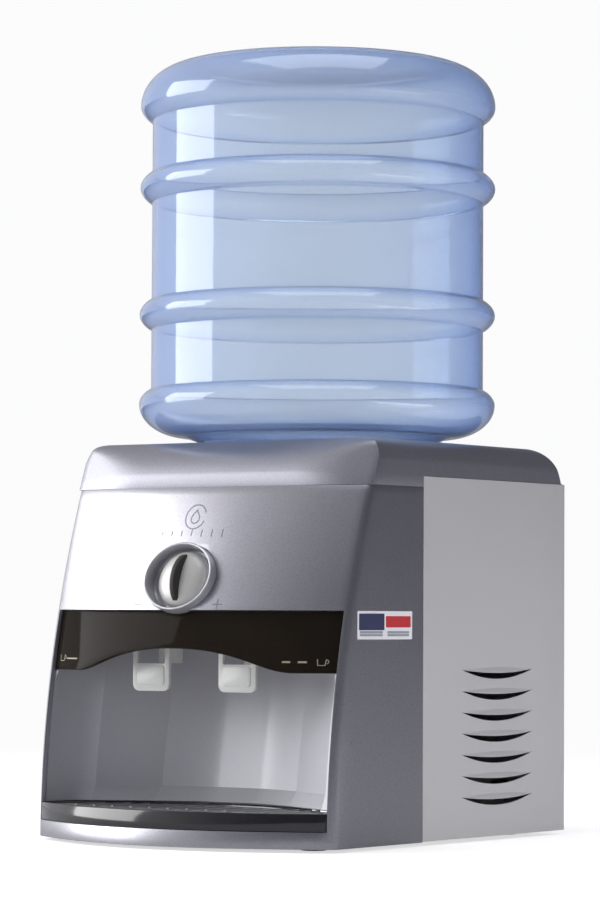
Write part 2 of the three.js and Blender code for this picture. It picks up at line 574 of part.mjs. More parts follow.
const bottleInner = [
  [NECK_RADIUS - BOTTLE_WALL, NECK_LIP], [NECK_RADIUS - BOTTLE_WALL, neckRoot + BOTTLE_WALL],
  [SHOULDER_RADIUS, coneAt(SHOULDER_RADIUS) + 4], [BOTTLE_RADIUS - 8, hoopHeights[0] - 14],
  [BOTTLE_RADIUS - BOTTLE_WALL, hoopHeights[0]], [BOTTLE_RADIUS - BOTTLE_WALL, topHoop],
  [BOTTLE_RADIUS - 8, bottleTop - 9], [96, bottleTop - BOTTLE_WALL], [70, bottleTop - 6], [0, bottleTop - 8],
];
place('bottle', turned([...bottleOuter.reverse(), ...bottleInner]), bluePolycarbonate, axis);

// ---- top cover: rounded over at both sides and at the front, open underneath ------------------
const SIDE_ROUND = 15;
const FRONT_ROUND = 30;
const REAR_ROUND = 32;
const SEAT_RADIUS = 88;
const coverLow = SEAM_HEIGHT + GAP;
const panelClear = PANEL_HEIGHT + GAP;
function coverBody(inset, low) {
  const top = COVER_TOP - inset;
  const levels = spread(low, top, 4);
  const blank = solidOf(leaned(raised(bowedPlan(HALF - inset, inset, SIDE_DEPTH - inset), levels)));
  const half = HALF - inset;
  const ends = new THREE.Shape();
  ends.moveTo(-half, low - 1);
  ends.lineTo(-half, top - SIDE_ROUND);
  ends.quadraticCurveTo(-half + 3, top, -half + SIDE_ROUND, top);
  ends.lineTo(half - SIDE_ROUND, top);
  ends.quadraticCurveTo(half - 3, top, half, top - SIDE_ROUND);
  ends.lineTo(half, low - 1);
  ends.closePath();
  const nose = frontAt(0, top) + inset;
  const side = new THREE.Shape();
  const back = SIDE_DEPTH - inset;
  side.moveTo(back, low - 1);
  side.lineTo(back, top - REAR_ROUND);
  side.quadraticCurveTo(back - REAR_ROUND * 0.2, top - REAR_ROUND * 0.15, back - REAR_ROUND, top);
  side.lineTo(nose + FRONT_ROUND - 2, top);
  side.quadraticCurveTo(nose + 6, top, nose - 4, top - FRONT_ROUND);
  side.lineTo(nose - 40, low - 1);
  side.closePath();
  const rounded = solidOf(throughY(ends, -BOW_BASE, SIDE_DEPTH, 8));
  return blank.intersect(rounded).intersect(solidOf(throughX(side, -HALF, HALF, 8)));
}
const sideStep = block(-HALF - 1, HALF + 1, CHEEK_DEPTH, SIDE_DEPTH + 1, 0, panelClear);
const seatHole = barZ(SEAT_RADIUS + GAP, 0, BOTTLE_AXIS, COVER_TOP - 20, COVER_TOP + 5, 28);
const coverShell = coverBody(0, coverLow).subtract(coverBody(WALL, coverLow - 2));
place('top_cover', cut(coverShell, sideStep, seatHole), coverGrey);

// ---- bottle seat: a funnel held up under the cover's rim --------------------------------------
const COLLAR = NECK_RADIUS + 3.5;
const seatAt = (radius) => coneAt(radius) - 0.4;
const underCover = COVER_TOP - WALL - GAP;
const seatRim = SEAT_RADIUS - 4;
const seatProfile = [
  [COLLAR, NECK_LIP + 11], [COLLAR + 3, NECK_LIP + 11], [COLLAR + 3, seatAt(COLLAR) - 6],
  [SEAT_RADIUS - 9, underCover - 4], [SEAT_RADIUS + 6, underCover - 4], [SEAT_RADIUS + 6, underCover],
  [SEAT_RADIUS, underCover], [SEAT_RADIUS, COVER_TOP], [seatRim, COVER_TOP],
  [seatRim, Math.min(seatAt(seatRim), COVER_TOP)], [COLLAR, seatAt(COLLAR)], [COLLAR, NECK_LIP + 11],
];
place('bottle_seat', turned(seatProfile, 28), foodPlastic, axis);

// ---- cold-water tank with its baffle, gasket and insulation -----------------------------------
const tankTop = COVER_TOP - 25.5;
const tankLow = tankTop - TANK_HEIGHT;
const SPIGOT_RADIUS = 5;
const SPIGOT_DROP = 14;
const HOSE_WALL = 1.5;
const spigotSpots = [[-22, -43], [22, -43], [-50, 10]];
const tankInside = TANK_RADIUS - TANK_WALL;
const spigotLow = tankLow - SPIGOT_DROP;
const tankCup = turned([[0, tankLow], [TANK_RADIUS, tankLow], [TANK_RADIUS, tankTop], [tankInside, tankTop],
  [tankInside, tankLow + TANK_WALL], [0, tankLow + TANK_WALL]]);
const spigots = spigotSpots.map(([x, y]) => barZ(SPIGOT_RADIUS, x, y, spigotLow, tankLow + 1));
const spigotBores = spigotSpots.map(([x, y]) => {
  return barZ(SPIGOT_RADIUS - HOSE_WALL, x, y, spigotLow - 1, tankLow + 3, 12);
});
place('water_tank', cut(joined(tankCup, ...spigots), ...spigotBores), brushedSteel, axis);

const gasketTop = Math.min(tankTop + 3, seatAt(TANK_RADIUS - 4) - 6 - GAP);
place('tank_gasket', ring(TANK_RADIUS - 5, TANK_RADIUS + 2, tankTop + GAP, gasketTop), silicone, axis);

const baffleHeight = NECK_LIP - 30;
const baffleFoot = tankLow + TANK_WALL + GAP;
const baffleRadius = tankInside - 3;
const baffleProfile = [[6, baffleFoot], [8, baffleFoot], [8, baffleHeight - 2],
  [baffleRadius, baffleHeight - 2], [baffleRadius, baffleHeight], [6, baffleHeight], [6, baffleFoot]];
place('tank_baffle', turned(baffleProfile, 24), foodPlastic, axis);

const COLD_RADIUS = 30;
const foamInside = TANK_RADIUS + GAP;
const foamLow = tankLow - GAP - FOAM;
const foamMouth = COLD_RADIUS + GAP;
const foamCup = turned([[foamMouth, foamLow], [foamInside + FOAM, foamLow], [foamInside + FOAM, tankTop - 8],
  [foamInside, tankTop - 8], [foamInside, tankLow - GAP], [foamMouth, tankLow - GAP], [foamMouth, foamLow]]);
const foamHoles = spigotSpots.map(([x, y]) => barZ(SPIGOT_RADIUS + GAP, x, y, foamLow - 1, tankLow, 12));
place('tank_insulation', cut(solidOf(foamCup), ...foamHoles), foam, axis);

// ---- cooling stack under the tank: cold plate, thermoelectric module, heat sink, fan ----------
const COLD_THICK = 17;
const MODULE_SIZE = 40;
const MODULE_THICK = 3.9;
const SINK_BASE = 6;
const SINK_HEIGHT = 66;
const SINK_HALF = 42;
const SINK_LENGTH = 108;
const coldLow = tankLow - GAP - COLD_THICK;
const moduleLow = coldLow - GAP - MODULE_THICK;
const sinkTop = moduleLow - GAP;
const sinkLow = sinkTop - SINK_HEIGHT;
const sinkFront = -MODULE_SIZE / 2 - 14;
place('cold_plate', barZ(COLD_RADIUS, 0, 0, coldLow, tankLow - GAP, 24), aluminium, axis);
const moduleHalf = MODULE_SIZE / 2;
const moduleTop = moduleLow + MODULE_THICK;
const moduleTile = block(-moduleHalf, moduleHalf, -moduleHalf, moduleHalf, moduleLow, moduleTop);
place('cooling_module', moduleTile, ceramic, axis);

const finPlan = new THREE.Shape();
const FINS = 12;
const finPitch = (SINK_HALF * 2 - 2) / (FINS - 1);
finPlan.moveTo(-SINK_HALF, sinkTop);
for (let fin = 0; fin < FINS; fin += 1) {
  const left = -SINK_HALF + fin * finPitch;
  if (fin > 0) finPlan.lineTo(left, sinkTop - SINK_BASE);
  finPlan.lineTo(left, sinkLow);
  finPlan.lineTo(left + 2, sinkLow);
  if (fin < FINS - 1) finPlan.lineTo(left + 2, sinkTop - SINK_BASE);
}
finPlan.lineTo(SINK_HALF, sinkTop);
finPlan.closePath();
place('heat_sink', throughY(finPlan, sinkFront, sinkFront + SINK_LENGTH), aluminium, axis);

// ---- metal side panels: bent in at the back, with a column of crescent louvres ----------------
const LOUVRES = 7;
const LOUVRE_PITCH = 15.6;
const LOUVRE_LOW = 23.5;
const LOUVRE_CENTRE = 211;      // behind the front corners
const LOUVRE_WIDTH = 97;
const REAR_FACE = SIDE_DEPTH - 6.5;   // outside of the back panel
const RETURN = 14;              // inward flange at the back
const flangeBack = REAR_FACE - SHEET - GAP;

function louvreCut(z) {
  const half = LOUVRE_WIDTH / 2;
  const crescent = new THREE.Shape();
  crescent.moveTo(LOUVRE_CENTRE - half, z + 7);
  crescent.quadraticCurveTo(LOUVRE_CENTRE, z - 7, LOUVRE_CENTRE + half, z + 7);
  crescent.quadraticCurveTo(LOUVRE_CENTRE, z + 3, LOUVRE_CENTRE - half, z + 7);
  return throughX(crescent, HALF - 5, HALF + 5, 6);
}
function sidePanel() {
  const sheet = block(HALF - SHEET, HALF, CHEEK_DEPTH + GAP, SIDE_DEPTH, 0.5, PANEL_HEIGHT);
  const flangeFront = flangeBack - SHEET;
  const flange = block(HALF - RETURN, HALF - SHEET / 2, flangeFront, flangeBack, 10, PANEL_HEIGHT - 12);
  const louvres = spread(0, LOUVRES - 1, LOUVRES).map((i) => louvreCut(LOUVRE_LOW + i * LOUVRE_PITCH));
  const pilots = screwHeights.map((z) => {
    return barY(1.9, HALF - screwInset, z, flangeFront - 4, flangeBack + 5, 10);
  });
  return cut(joined(sheet, flange), ...louvres, ...pilots);
}
const screwInset = RETURN - 5;
const screwHeights = [24, PANEL_HEIGHT - 24];
place('side_panel_right', sidePanel(), brushedSteel);
place('side_panel_left', geometryOf(sidePanel().mirror([1, 0, 0])), brushedSteel);

// ---- back panel with its fan grille, drain and cable holes ------------------------------------
const fanHeight = (sinkTop + sinkLow) / 2 - 8;
const DRAIN_X = -74;
const LOW_PORTS = 30;           // drain and cable gland above the base
const GLAND_X = 84;
const GLAND_RADIUS = 8;
const rearHalf = HALF - SHEET - GAP;
const rearFront = REAR_FACE - SHEET;
const rearBlank = solidOf(block(-rearHalf, rearHalf, rearFront, REAR_FACE, 10, PANEL_HEIGHT - 4));
const fanSlots = spread(-3, 3, 7).flatMap((row) => {
  const z = fanHeight + row * 10;
  const reach = Math.sqrt(38 ** 2 - (row * 10) ** 2);
  return [-1, 1].map((side) => {
    const [x0, x1] = side > 0 ? [2, reach] : [-reach, -2];
    return block(x0, x1, REAR_FACE - 5, REAR_FACE + 5, z - 2.5, z + 2.5);
  });
});
const screwSpots = [-1, 1].flatMap((side) => screwHeights.map((z) => [side * (HALF - screwInset), z]));
const rearHoles = [
  ...screwSpots.map(([x, z]) => barY(2.1, x, z, REAR_FACE - 5, REAR_FACE + 5, 12)),
  barY(GLAND_RADIUS + GAP, GLAND_X, LOW_PORTS, REAR_FACE - 5, REAR_FACE + 5),
  barY(SPIGOT_RADIUS + GAP, DRAIN_X, LOW_PORTS, REAR_FACE - 5, REAR_FACE + 5),
];
place('back_panel', cut(rearBlank, ...fanSlots, ...rearHoles), zincSteel);

screwSpots.forEach(([x, z], i) => {
  const shank = barY(1.6, x, z, flangeBack - 8, REAR_FACE + 1, 10);
  const head = barY(3.6, x, z, REAR_FACE + GAP, REAR_FACE + 2.3, 14);
  place(`back_screw_${i + 1}`, joined(shank, head), zincSteel);
});

// ---- cooling fan, fixed to the back panel -----------------------------------------------------
const fanHalf = FAN_SIZE / 2;
const fanBack = REAR_FACE - SHEET - GAP;
const FAN_THICK = 25;
const HUB_RADIUS = 18;
const fanFront = fanBack - FAN_THICK;
const [fanLow, fanHigh] = [fanHeight - fanHalf, fanHeight + fanHalf];
const fanBody = solidOf(block(-fanHalf, fanHalf, fanFront, fanBack, fanLow, fanHigh));
const fanThroat = barY(fanHalf - 2, 0, fanHeight, fanFront - 1, fanBack + 1, 28);
const spider = [
  barY(HUB_RADIUS - 2, 0, fanHeight, fanBack - 4, fanBack),
  block(-fanHalf + 1, fanHalf - 1, fanBack - 4, fanBack - 1, fanHeight - 2.5, fanHeight + 2.5),
  barY(2, 0, fanHeight, fanBack - 14, fanBack - 3, 10),
];
place('fan_frame', cut(fanBody, fanThroat).add(joined(...spider)), fanBlack);

const BLADES = 7;
const hub = barY(HUB_RADIUS, 0, 0, -18, 0, 20);
const blades = spread(0, BLADES - 1, BLADES).map((i) => {
  const blade = block(HUB_RADIUS - 2, fanHalf - 3.5, -1, 1, -7, 7);
  return blade.rotateX(0.7).translate(0, -9, 0).rotateY(i * Math.PI * 2 / BLADES);
});
const rotorBore = barY(2.4, 0, 0, -14, 1, 10);
const rotor = place('fan_rotor', cut(joined(hub, ...blades), rotorBore), fanBlack);
rotor.position.set(0, fanBack - 4.6, fanHeight);

// ---- cable gland; the lead itself is not part of the model -------------------------------------
const glandBody = [
  barY(GLAND_RADIUS, GLAND_X, LOW_PORTS, REAR_FACE - 12, REAR_FACE + 1),
  barY(GLAND_RADIUS + 3, GLAND_X, LOW_PORTS, REAR_FACE + GAP, REAR_FACE + 5, 6),
];
const leadHole = barY(3.5, GLAND_X, LOW_PORTS, REAR_FACE - 13, REAR_FACE + 6, 12);
place('cable_gland', cut(joined(...glandBody), leadHole), rubber);

// ---- base pan, feet, power board --------------------------------------------------------------
const PAN_LOW = 2;
const PAN_THICK = 2.5;
const panTop = PAN_LOW + PAN_THICK;
const panPlan = bowedPlan(HALF - WALL - GAP, WALL + GAP, REAR_FACE - SHEET - GAP);
const BOARD_X = -62;
const BOARD_Y = 175;
const BOARD_HALF = [34, 52];
const standoffs = [-1, 1].flatMap((sx) => [-1, 1].map((sy) => {
  const [x, y] = [BOARD_X + sx * (BOARD_HALF[0] - 5), BOARD_Y + sy * (BOARD_HALF[1] - 5)];
  return barZ(3, x, y, panTop - 1, panTop + 5, 10);
}));
place('base_pan', joined(leaned(raised(panPlan, [PAN_LOW, panTop])), ...standoffs), zincSteel);

const FOOT_RADIUS = 11;
const footTop = PAN_LOW - GAP;
const footProfile = [[0, -FOOT_HEIGHT], [FOOT_RADIUS - 1.5, -FOOT_HEIGHT], [FOOT_RADIUS, 0],
  [FOOT_RADIUS, footTop], [0, footTop]];
[[-1, 22], [1, 22], [-1, SIDE_DEPTH - 34], [1, SIDE_DEPTH - 34]].forEach(([side, y], i) => {
  place(`foot_${i + 1}`, turned(footProfile, 20).translate(side * (HALF - 34), y, 0), rubber);
});

const boardLow = panTop + 5 + GAP;
const BOARD_THICK = 1.6;
const boardTop = boardLow + BOARD_THICK;
const boardAcross = [BOARD_X - BOARD_HALF[0], BOARD_X + BOARD_HALF[0]];
const boardAlong = [BOARD_Y - BOARD_HALF[1], BOARD_Y + BOARD_HALF[1]];
place('power_board', block(...boardAcross, ...boardAlong, boardLow, boardTop), boardGreen);
const partLow = boardTop + GAP;
const coreBlock = block(BOARD_X - 20, BOARD_X + 20, BOARD_Y + 6, BOARD_Y + 46, partLow, partLow + 30);
place('transformer', coreBlock, coilDark);
place('capacitor', barZ(9, BOARD_X - 14, BOARD_Y - 28, partLow, partLow + 26), fanBlack);

// ---- hoses: tank to taps, and tank to the drain ------------------------------------------------
const hoseHigh = tankLow - SPIGOT_DROP - GAP;
const HOSE_STEPS = 10;
function hose(points) {
  const outer = solidOf(tube(points, SPIGOT_RADIUS, HOSE_STEPS, 6));
  const [first, last] = [points[0], points[points.length - 1]];
  const [second, nearLast] = [points[1], points[points.length - 2]];
  const extend = (end, next) => end.map((value, i) => value + (value - next[i]) * 0.2);
  const lining = [extend(first, second), ...points.slice(1, -1), extend(last, nearLast)];
  return cut(outer, tube(lining, SPIGOT_RADIUS - HOSE_WALL, HOSE_STEPS, 6));
}
for (const [side, sign] of [['left', -1], ['right', 1]]) {
  const [spigotX, spigotY] = [sign * 22, BOTTLE_AXIS - 43];
  const shankEnd = shankBack + GAP;
  place(`tap_hose_${side}`, hose([
    [sign * tapX, shankEnd, TAP_SHANK_HEIGHT], [sign * tapX, shankEnd + 5, TAP_SHANK_HEIGHT],
    [sign * (tapX - 4), shankEnd + 12, hoseHigh - 10], [spigotX + sign * 7, spigotY, hoseHigh - 17],
    [spigotX, spigotY, hoseHigh - 9], [spigotX, spigotY, hoseHigh],
  ]), silicone);
}
const drainTop = [spigotSpots[2][0], BOTTLE_AXIS + spigotSpots[2][1]];
place('drain_hose', hose([
  [...drainTop, hoseHigh], [...drainTop, hoseHigh - 10], [DRAIN_X + 8, drainTop[1] + 20, hoseHigh - 50],
  [DRAIN_X, REAR_FACE - 50, LOW_PORTS + 12], [DRAIN_X, REAR_FACE - 22, LOW_PORTS],
  [DRAIN_X, REAR_FACE - 10, LOW_PORTS],
]), silicone);
const drainTube = [
  barY(SPIGOT_RADIUS, DRAIN_X, LOW_PORTS, REAR_FACE - 10 + GAP, REAR_FACE + 1.5),
  barY(SPIGOT_RADIUS + 3, DRAIN_X, LOW_PORTS, REAR_FACE - SHEET - 2.3, REAR_FACE - SHEET - GAP),
];
const drainBore = barY(SPIGOT_RADIUS - HOSE_WALL, DRAIN_X, LOW_PORTS, REAR_FACE - 12, REAR_FACE + 3, 12);
place('drain_spout', cut(joined(...drainTube), drainBore), foodPlastic);
const plugTube = [
  barY(SPIGOT_RADIUS - HOSE_WALL - 0.5, DRAIN_X, LOW_PORTS, REAR_FACE - 6, REAR_FACE + 3, 12),
  barY(SPIGOT_RADIUS + 2, DRAIN_X, LOW_PORTS, REAR_FACE + 1.5 + GAP, REAR_FACE + 5),
];
place('drain_plug', joined(...plugTube), rubber);

export default dispenser;
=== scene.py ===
"""A countertop water dispenser with an inverted blue bottle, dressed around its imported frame.

Metres, +Z up, the front faces -Y. Sections follow the machine as it is put together.
"""
import math

import bpy
import bmesh
from mathutils import Matrix, Vector


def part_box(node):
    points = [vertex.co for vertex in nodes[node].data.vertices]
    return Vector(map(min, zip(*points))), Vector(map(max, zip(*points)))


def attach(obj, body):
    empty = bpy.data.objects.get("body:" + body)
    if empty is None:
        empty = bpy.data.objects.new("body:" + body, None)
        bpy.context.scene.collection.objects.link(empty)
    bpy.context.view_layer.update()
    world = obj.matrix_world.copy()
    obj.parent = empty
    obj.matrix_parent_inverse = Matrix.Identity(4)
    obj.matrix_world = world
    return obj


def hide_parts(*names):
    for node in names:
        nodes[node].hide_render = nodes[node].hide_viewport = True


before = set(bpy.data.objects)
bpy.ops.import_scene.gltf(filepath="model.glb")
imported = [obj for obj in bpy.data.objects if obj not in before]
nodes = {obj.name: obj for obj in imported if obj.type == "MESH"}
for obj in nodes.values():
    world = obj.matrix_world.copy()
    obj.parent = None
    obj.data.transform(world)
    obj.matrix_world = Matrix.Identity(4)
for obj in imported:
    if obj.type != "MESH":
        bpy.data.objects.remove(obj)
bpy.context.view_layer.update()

# ---- camera ----------------------------------------------------------------------------------
# A long lens at table height, from the front right, turned a third of a degree about its axis.
camera_data = bpy.data.cameras.new("camera")
camera_data.lens = 144.9
camera_data.sensor_width = 36.0
camera = bpy.data.objects.new("camera", camera_data)
bpy.context.scene.collection.objects.link(camera)
bpy.context.scene.camera = camera
ahead = Vector((-0.5796, 0.8136, 0.04629)).normalized()
roll = math.radians(0.293)
level_right = ahead.cross(Vector((0, 0, 1))).normalized()
level_up = level_right.cross(ahead)
right = level_right * math.cos(roll) + level_up * math.sin(roll)
up = right.cross(ahead)
camera.matrix_world = Matrix((right, up, -ahead)).transposed().to_4x4()
camera.location = (1.5846, -2.2108, 0.1642)
bpy.context.scene.view_settings.view_transform = "Standard"

# ---- studio ----------------------------------------------------------------------------------
# A white table under a pale room: a wide softbox on the left, a weak one above, a dim right side.
STUDIO_WHITE = (0.80, 0.80, 0.81, 1)
FLOOR_GLOW = 0.62


class Wire:
    """One shader socket; sums and products of wires and numbers add their Math nodes."""

    def __init__(self, finish, socket):
        self.finish = finish
        self.socket = socket

    def math(self, operation, first, second):
        return self.finish.add("ShaderNodeMath", {"operation": operation}, {0: first, 1: second})

    def __add__(self, other):
        return self.math("ADD", self, other)

    __radd__ = __add__

    def __sub__(self, other):
        return self.math("SUBTRACT", self, other)

    def __rsub__(self, other):
        return self.math("SUBTRACT", other, self)

    def __mul__(self, other):
        return self.math("MULTIPLY", self, other)

    __rmul__ = __mul__

    def __pow__(self, other):
        return self.math("POWER", self, other)

    def above(self, limit):
        return self.math("GREATER_THAN", self, limit)


class Finish:
    """A node tree being written: add() makes a node and hands back its first output."""

    def __init__(self, tree):
        self.tree = tree

    def add(self, kind, settings=None, inputs=None, output=0):
        node = self.tree.nodes.new(kind)
        for name, value in (settings or {}).items():
            if name == "stops":
                while len(node.color_ramp.elements) < len(value):
                    node.color_ramp.elements.new(0.5)
                for element, (place, colour) in zip(node.color_ramp.elements, value):
                    element.position = place
                    element.color = colour
            else:
                setattr(node, name, value)
        for name, value in (inputs or {}).items():
            if isinstance(value, Wire):
                self.tree.links.new(value.socket, node.inputs[name])
            else:
                node.inputs[name].default_value = value
        return Wire(self, node.outputs[output]) if node.outputs else None

    def blend(self, share, first, second):
        """A colour that goes from first to second as share goes from 0 to 1."""
        mix = self.tree.nodes.new("ShaderNodeMix")
        mix.data_type = "RGBA"
        for socket, value in ((mix.inputs[0], share), (mix.inputs[6], first), (mix.inputs[7], second)):
            if isinstance(value, Wire):
                self.tree.links.new(value.socket, socket)
            else:
                socket.default_value = value
        return Wire(self, mix.outputs[2])


world = bpy.data.worlds.new("studio")
bpy.context.scene.world = world
world.use_nodes = True
world.node_tree.nodes.clear()
air = Finish(world.node_tree)
ray = air.add("ShaderNodeTexCoord", output="Generated")
sides = air.tree.nodes.new("ShaderNodeSeparateXYZ")
air.tree.links.new(ray.socket, sides.inputs[0])
across = Wire(air, sides.outputs["X"])
along = Wire(air, sides.outputs["Y"])
# 0 on the left and 1 towards the dim right side of the room
toward_right = across * 0.42 + along * 0.12 + 0.5
room = air.add("ShaderNodeValToRGB", {"stops": [
    (0.0, (1.0, 1.0, 1.02, 1)), (0.17, (0.92, 0.92, 0.95, 1)), (0.36, (0.36, 0.36, 0.40, 1)),
    (0.5, (0.16, 0.16, 0.19, 1)), (1.0, (0.09, 0.09, 0.11, 1)),
]}, {"Fac": toward_right})
seen = air.add("ShaderNodeLightPath", output="Is Camera Ray")
through = air.add("ShaderNodeLightPath", output="Is Transmission Ray")
lit = air.add("ShaderNodeBackground", None, {"Color": room, "Strength": 0.85})
plain = air.add("ShaderNodeBackground", None, {"Color": (0.97, 0.97, 0.975, 1), "Strength": 1.0})
sky = air.add("ShaderNodeMixShader", None, {0: air.add("ShaderNodeMath", {"operation": "MAXIMUM"}, {0: seen,
        1: through}), 1: lit, 2: plain})
air.add("ShaderNodeOutputWorld", None, {0: sky})


def softbox(name, place, aim, width, height, power):
    data = bpy.data.lights.new(name, "AREA")
    data.shape = "RECTANGLE"
    data.size = width
    data.size_y = height
    data.energy = power
    lamp = bpy.data.objects.new(name, data)
    bpy.context.scene.collection.objects.link(lamp)
    lamp.location = place
    lamp.rotation_euler = (Vector(aim) - Vector(place)).to_track_quat("-Z", "Y").to_euler()
    return lamp


softbox("left_softbox", (-2.2, -1.3, 0.9), (0, 0, 0.25), 1.8, 1.8, 48)
softbox("top_softbox", (0.2, -0.2, 2.3), (0, 0, 0), 1.6, 1.6, 18)
low_fill = softbox("low_right_fill", (0.62, 0.06, 0.03), (0.13, 0.06, 0.02), 0.5, 0.10, 1.7)
low_fill.visible_camera = False
low_fill.visible_glossy = False

floor_mesh = bpy.data.meshes.new("table_top")
REACH = 12.0
floor_corners = [(-REACH, -REACH, 0), (REACH, -REACH, 0), (REACH, REACH, 0), (-REACH, REACH, 0)]
floor_mesh.from_pydata(floor_corners, [], [(0, 1, 2, 3)])
floor = bpy.data.objects.new("table_top", floor_mesh)
bpy.context.scene.collection.objects.link(floor)
floor_paint = bpy.data.materials.new("table_white")
floor_paint.use_nodes = True
floor_paint.node_tree.nodes.clear()
table = Finish(floor_paint.node_tree)
matt = table.add("ShaderNodeBsdfDiffuse", None, {"Color": STUDIO_WHITE})
glow = table.add("ShaderNodeEmission", None, {"Color": (1, 1, 1, 1), "Strength": FLOOR_GLOW})
table_seen = table.add("ShaderNodeLightPath", output="Is Camera Ray")
lifted = table.add("ShaderNodeAddShader", None, {0: matt, 1: glow})
table_sum = table.add("ShaderNodeMixShader", None, {0: table_seen, 1: matt, 2: lifted})
spot = table.add("ShaderNodeTexCoord", output="Object")
reach = table.add("ShaderNodeVectorMath", {"operation": "LENGTH"}, {0: spot}, output="Value")
fading = table.add("ShaderNodeMapRange", {"interpolation_type": "SMOOTHSTEP"}, {0: reach, 1: 0.5, 2: 2.2})
backdrop = table.add("ShaderNodeEmission", None, {"Color": (0.97, 0.97, 0.975, 1), "Strength": 1.0})
distant = table.add("ShaderNodeMixShader", None, {0: fading * table_seen, 1: table_sum, 2: backdrop})
table.add("ShaderNodeOutputMaterial", None, {0: distant})
floor_mesh.materials.append(floor_paint)

# ---- front moulding --------------------------------------------------------------------------
# One injection-moulded shell in metallic silver-lilac plastic: lower strip, cheeks, narrow uprights
# and the upper panel. It is bowed across, leans back, and has an oval hole for the knob's bezel.
front_low, front_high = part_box("front_moulding")
HALF = front_high.x
BASE = front_low.z
SEAM = front_high.z
BOW_BASE = 0.047
BOW_SEAM = 0.022
LEAN = 0.045
WALL = 0.003
STILE = 0.005
STRIP_TOP = 0.012
PANEL_LOW = 0.167
CORNER_Y = front_low.y + BOW_BASE
CHEEK_BACK = front_high.y
SILVER = (0.36, 0.357, 0.395, 1)
SILVER_FLAKE = (0.54, 0.535, 0.58, 1)


def front_y(x, z):
    """The leaning, bowed face of the front at a height above the table."""
    rise = (z - BASE) / (SEAM - BASE)
    bow = BOW_BASE + (BOW_SEAM - BOW_BASE) * rise
    return CORNER_Y + LEAN * rise ** 2 - bow * (1 - (x / HALF) ** 2)


def spread(first, last, count):
    return [first + (last - first) * i / (count - 1) for i in range(count)]


def material(name):
    paint = bpy.data.materials.new(name)
    paint.use_nodes = True
    paint.node_tree.nodes.clear()
    tree = Finish(paint.node_tree)
    return paint, tree


def finished(tree, colour, rough, bump_height, bump_depth, fixed):
    """The shader at the end of a finish: varying colour, roughness and relief, and fixed sockets."""
    relief = tree.add("ShaderNodeBump", None,
                      {"Height": bump_height, "Distance": bump_depth, "Strength": 0.5})
    shader = tree.tree.nodes.new("ShaderNodeBsdfPrincipled")
    for name, value in fixed.items():
        shader.inputs[name].default_value = value
    for name, value in (("Base Color", colour), ("Roughness", rough), ("Normal", relief)):
        if isinstance(value, Wire):
            tree.tree.links.new(value.socket, shader.inputs[name])
        else:
            shader.inputs[name].default_value = value
    tree.add("ShaderNodeOutputMaterial", None, {0: Wire(tree, shader.outputs[0])})


def moulded(name, colour, flake, rough, grain=900, depth=0.00006, **fixed):
    """Moulded plastic: fine grain, a sparkle of flake and slow changes of gloss."""
    paint, tree = material(name)
    place = tree.add("ShaderNodeTexCoord", output="Object")
    fine = tree.add("ShaderNodeTexNoise", None, {"Vector": place, "Scale": grain, "Detail": 2.0})
    broad = tree.add("ShaderNodeTexNoise", None, {"Vector": place, "Scale": 14.0, "Detail": 3.0})
    sparkle = tree.add("ShaderNodeTexVoronoi", None, {"Vector": place, "Scale": grain * 1.7})
    share = (sparkle * -1.6 + 1.0) * 0.55 + fine * 0.35
    tone = tree.blend(share, colour, flake)
    finished(tree, tone, broad * 0.10 + fine * 0.05 + (rough - 0.07), fine, depth, fixed)
    return paint


def loops_mesh(name, loops, closed=False, caps=False):
    """Quads between successive loops of points; caps closes the first and last loop."""
    mesh = bpy.data.meshes.new(name)
    count = len(loops[0])
    faces = []
    for row in range(len(loops) - 1):
        for column in range(count if closed else count - 1):
            after = (column + 1) % count
            faces.append((row * count + column, row * count + after,
                          (row + 1) * count + after, (row + 1) * count + column))
    if caps:
        faces.append(tuple(range(count))[::-1])
        faces.append(tuple(range((len(loops) - 1) * count, len(loops) * count)))
    mesh.from_pydata([point for loop in loops for point in loop], [], faces)
    return mesh


def tidy_mesh(mesh, close=0.00002):
    work = bmesh.new()
    work.from_mesh(mesh)
    bmesh.ops.remove_doubles(work, verts=work.verts, dist=close)
    bmesh.ops.recalc_face_normals(work, faces=work.faces)
    work.to_mesh(mesh)
    work.free()


def add_object(name, mesh, paint):
    thing = bpy.data.objects.new(name, mesh)
    bpy.context.scene.collection.objects.link(thing)
    mesh.materials.clear()
    mesh.materials.append(paint)
    return thing


def settle(thing, edge=35):
    """Applies the modifiers and shades smooth, with edges sharper than `edge` degrees kept."""
    bpy.context.view_layer.update()
    seen = thing.evaluated_get(bpy.context.evaluated_depsgraph_get())
    mesh = bpy.data.meshes.new_from_object(seen)
    thing.modifiers.clear()
    thing.data = mesh
    mesh.polygons.foreach_set("use_smooth", [True] * len(mesh.polygons))
    mesh.set_sharp_from_angle(angle=math.radians(edge))
    return thing


def softened(thing, width, segments=2, limit=32):
    bevel = thing.modifiers.new("softened", "BEVEL")
    bevel.width = width
    bevel.segments = segments
    bevel.limit_method = "ANGLE"
    bevel.angle_limit = math.radians(limit)
    bevel.harden_normals = False
    return thing


def walled(thing, thickness):
    wall = thing.modifiers.new("wall", "SOLIDIFY")
    wall.thickness = thickness
    wall.offset = -1
    wall.use_even_offset = True
    return thing


def fit(thing, body, slot, *stands_for):
    if stands_for:
        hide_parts(*stands_for)
    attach(thing, body)
    return thing


silver_plastic = moulded("silver_plastic", SILVER, SILVER_FLAKE, 0.34, Metallic=0.93, **{"Coat Weight": 0.12})
corner_turn = spread(0, 1, 7)


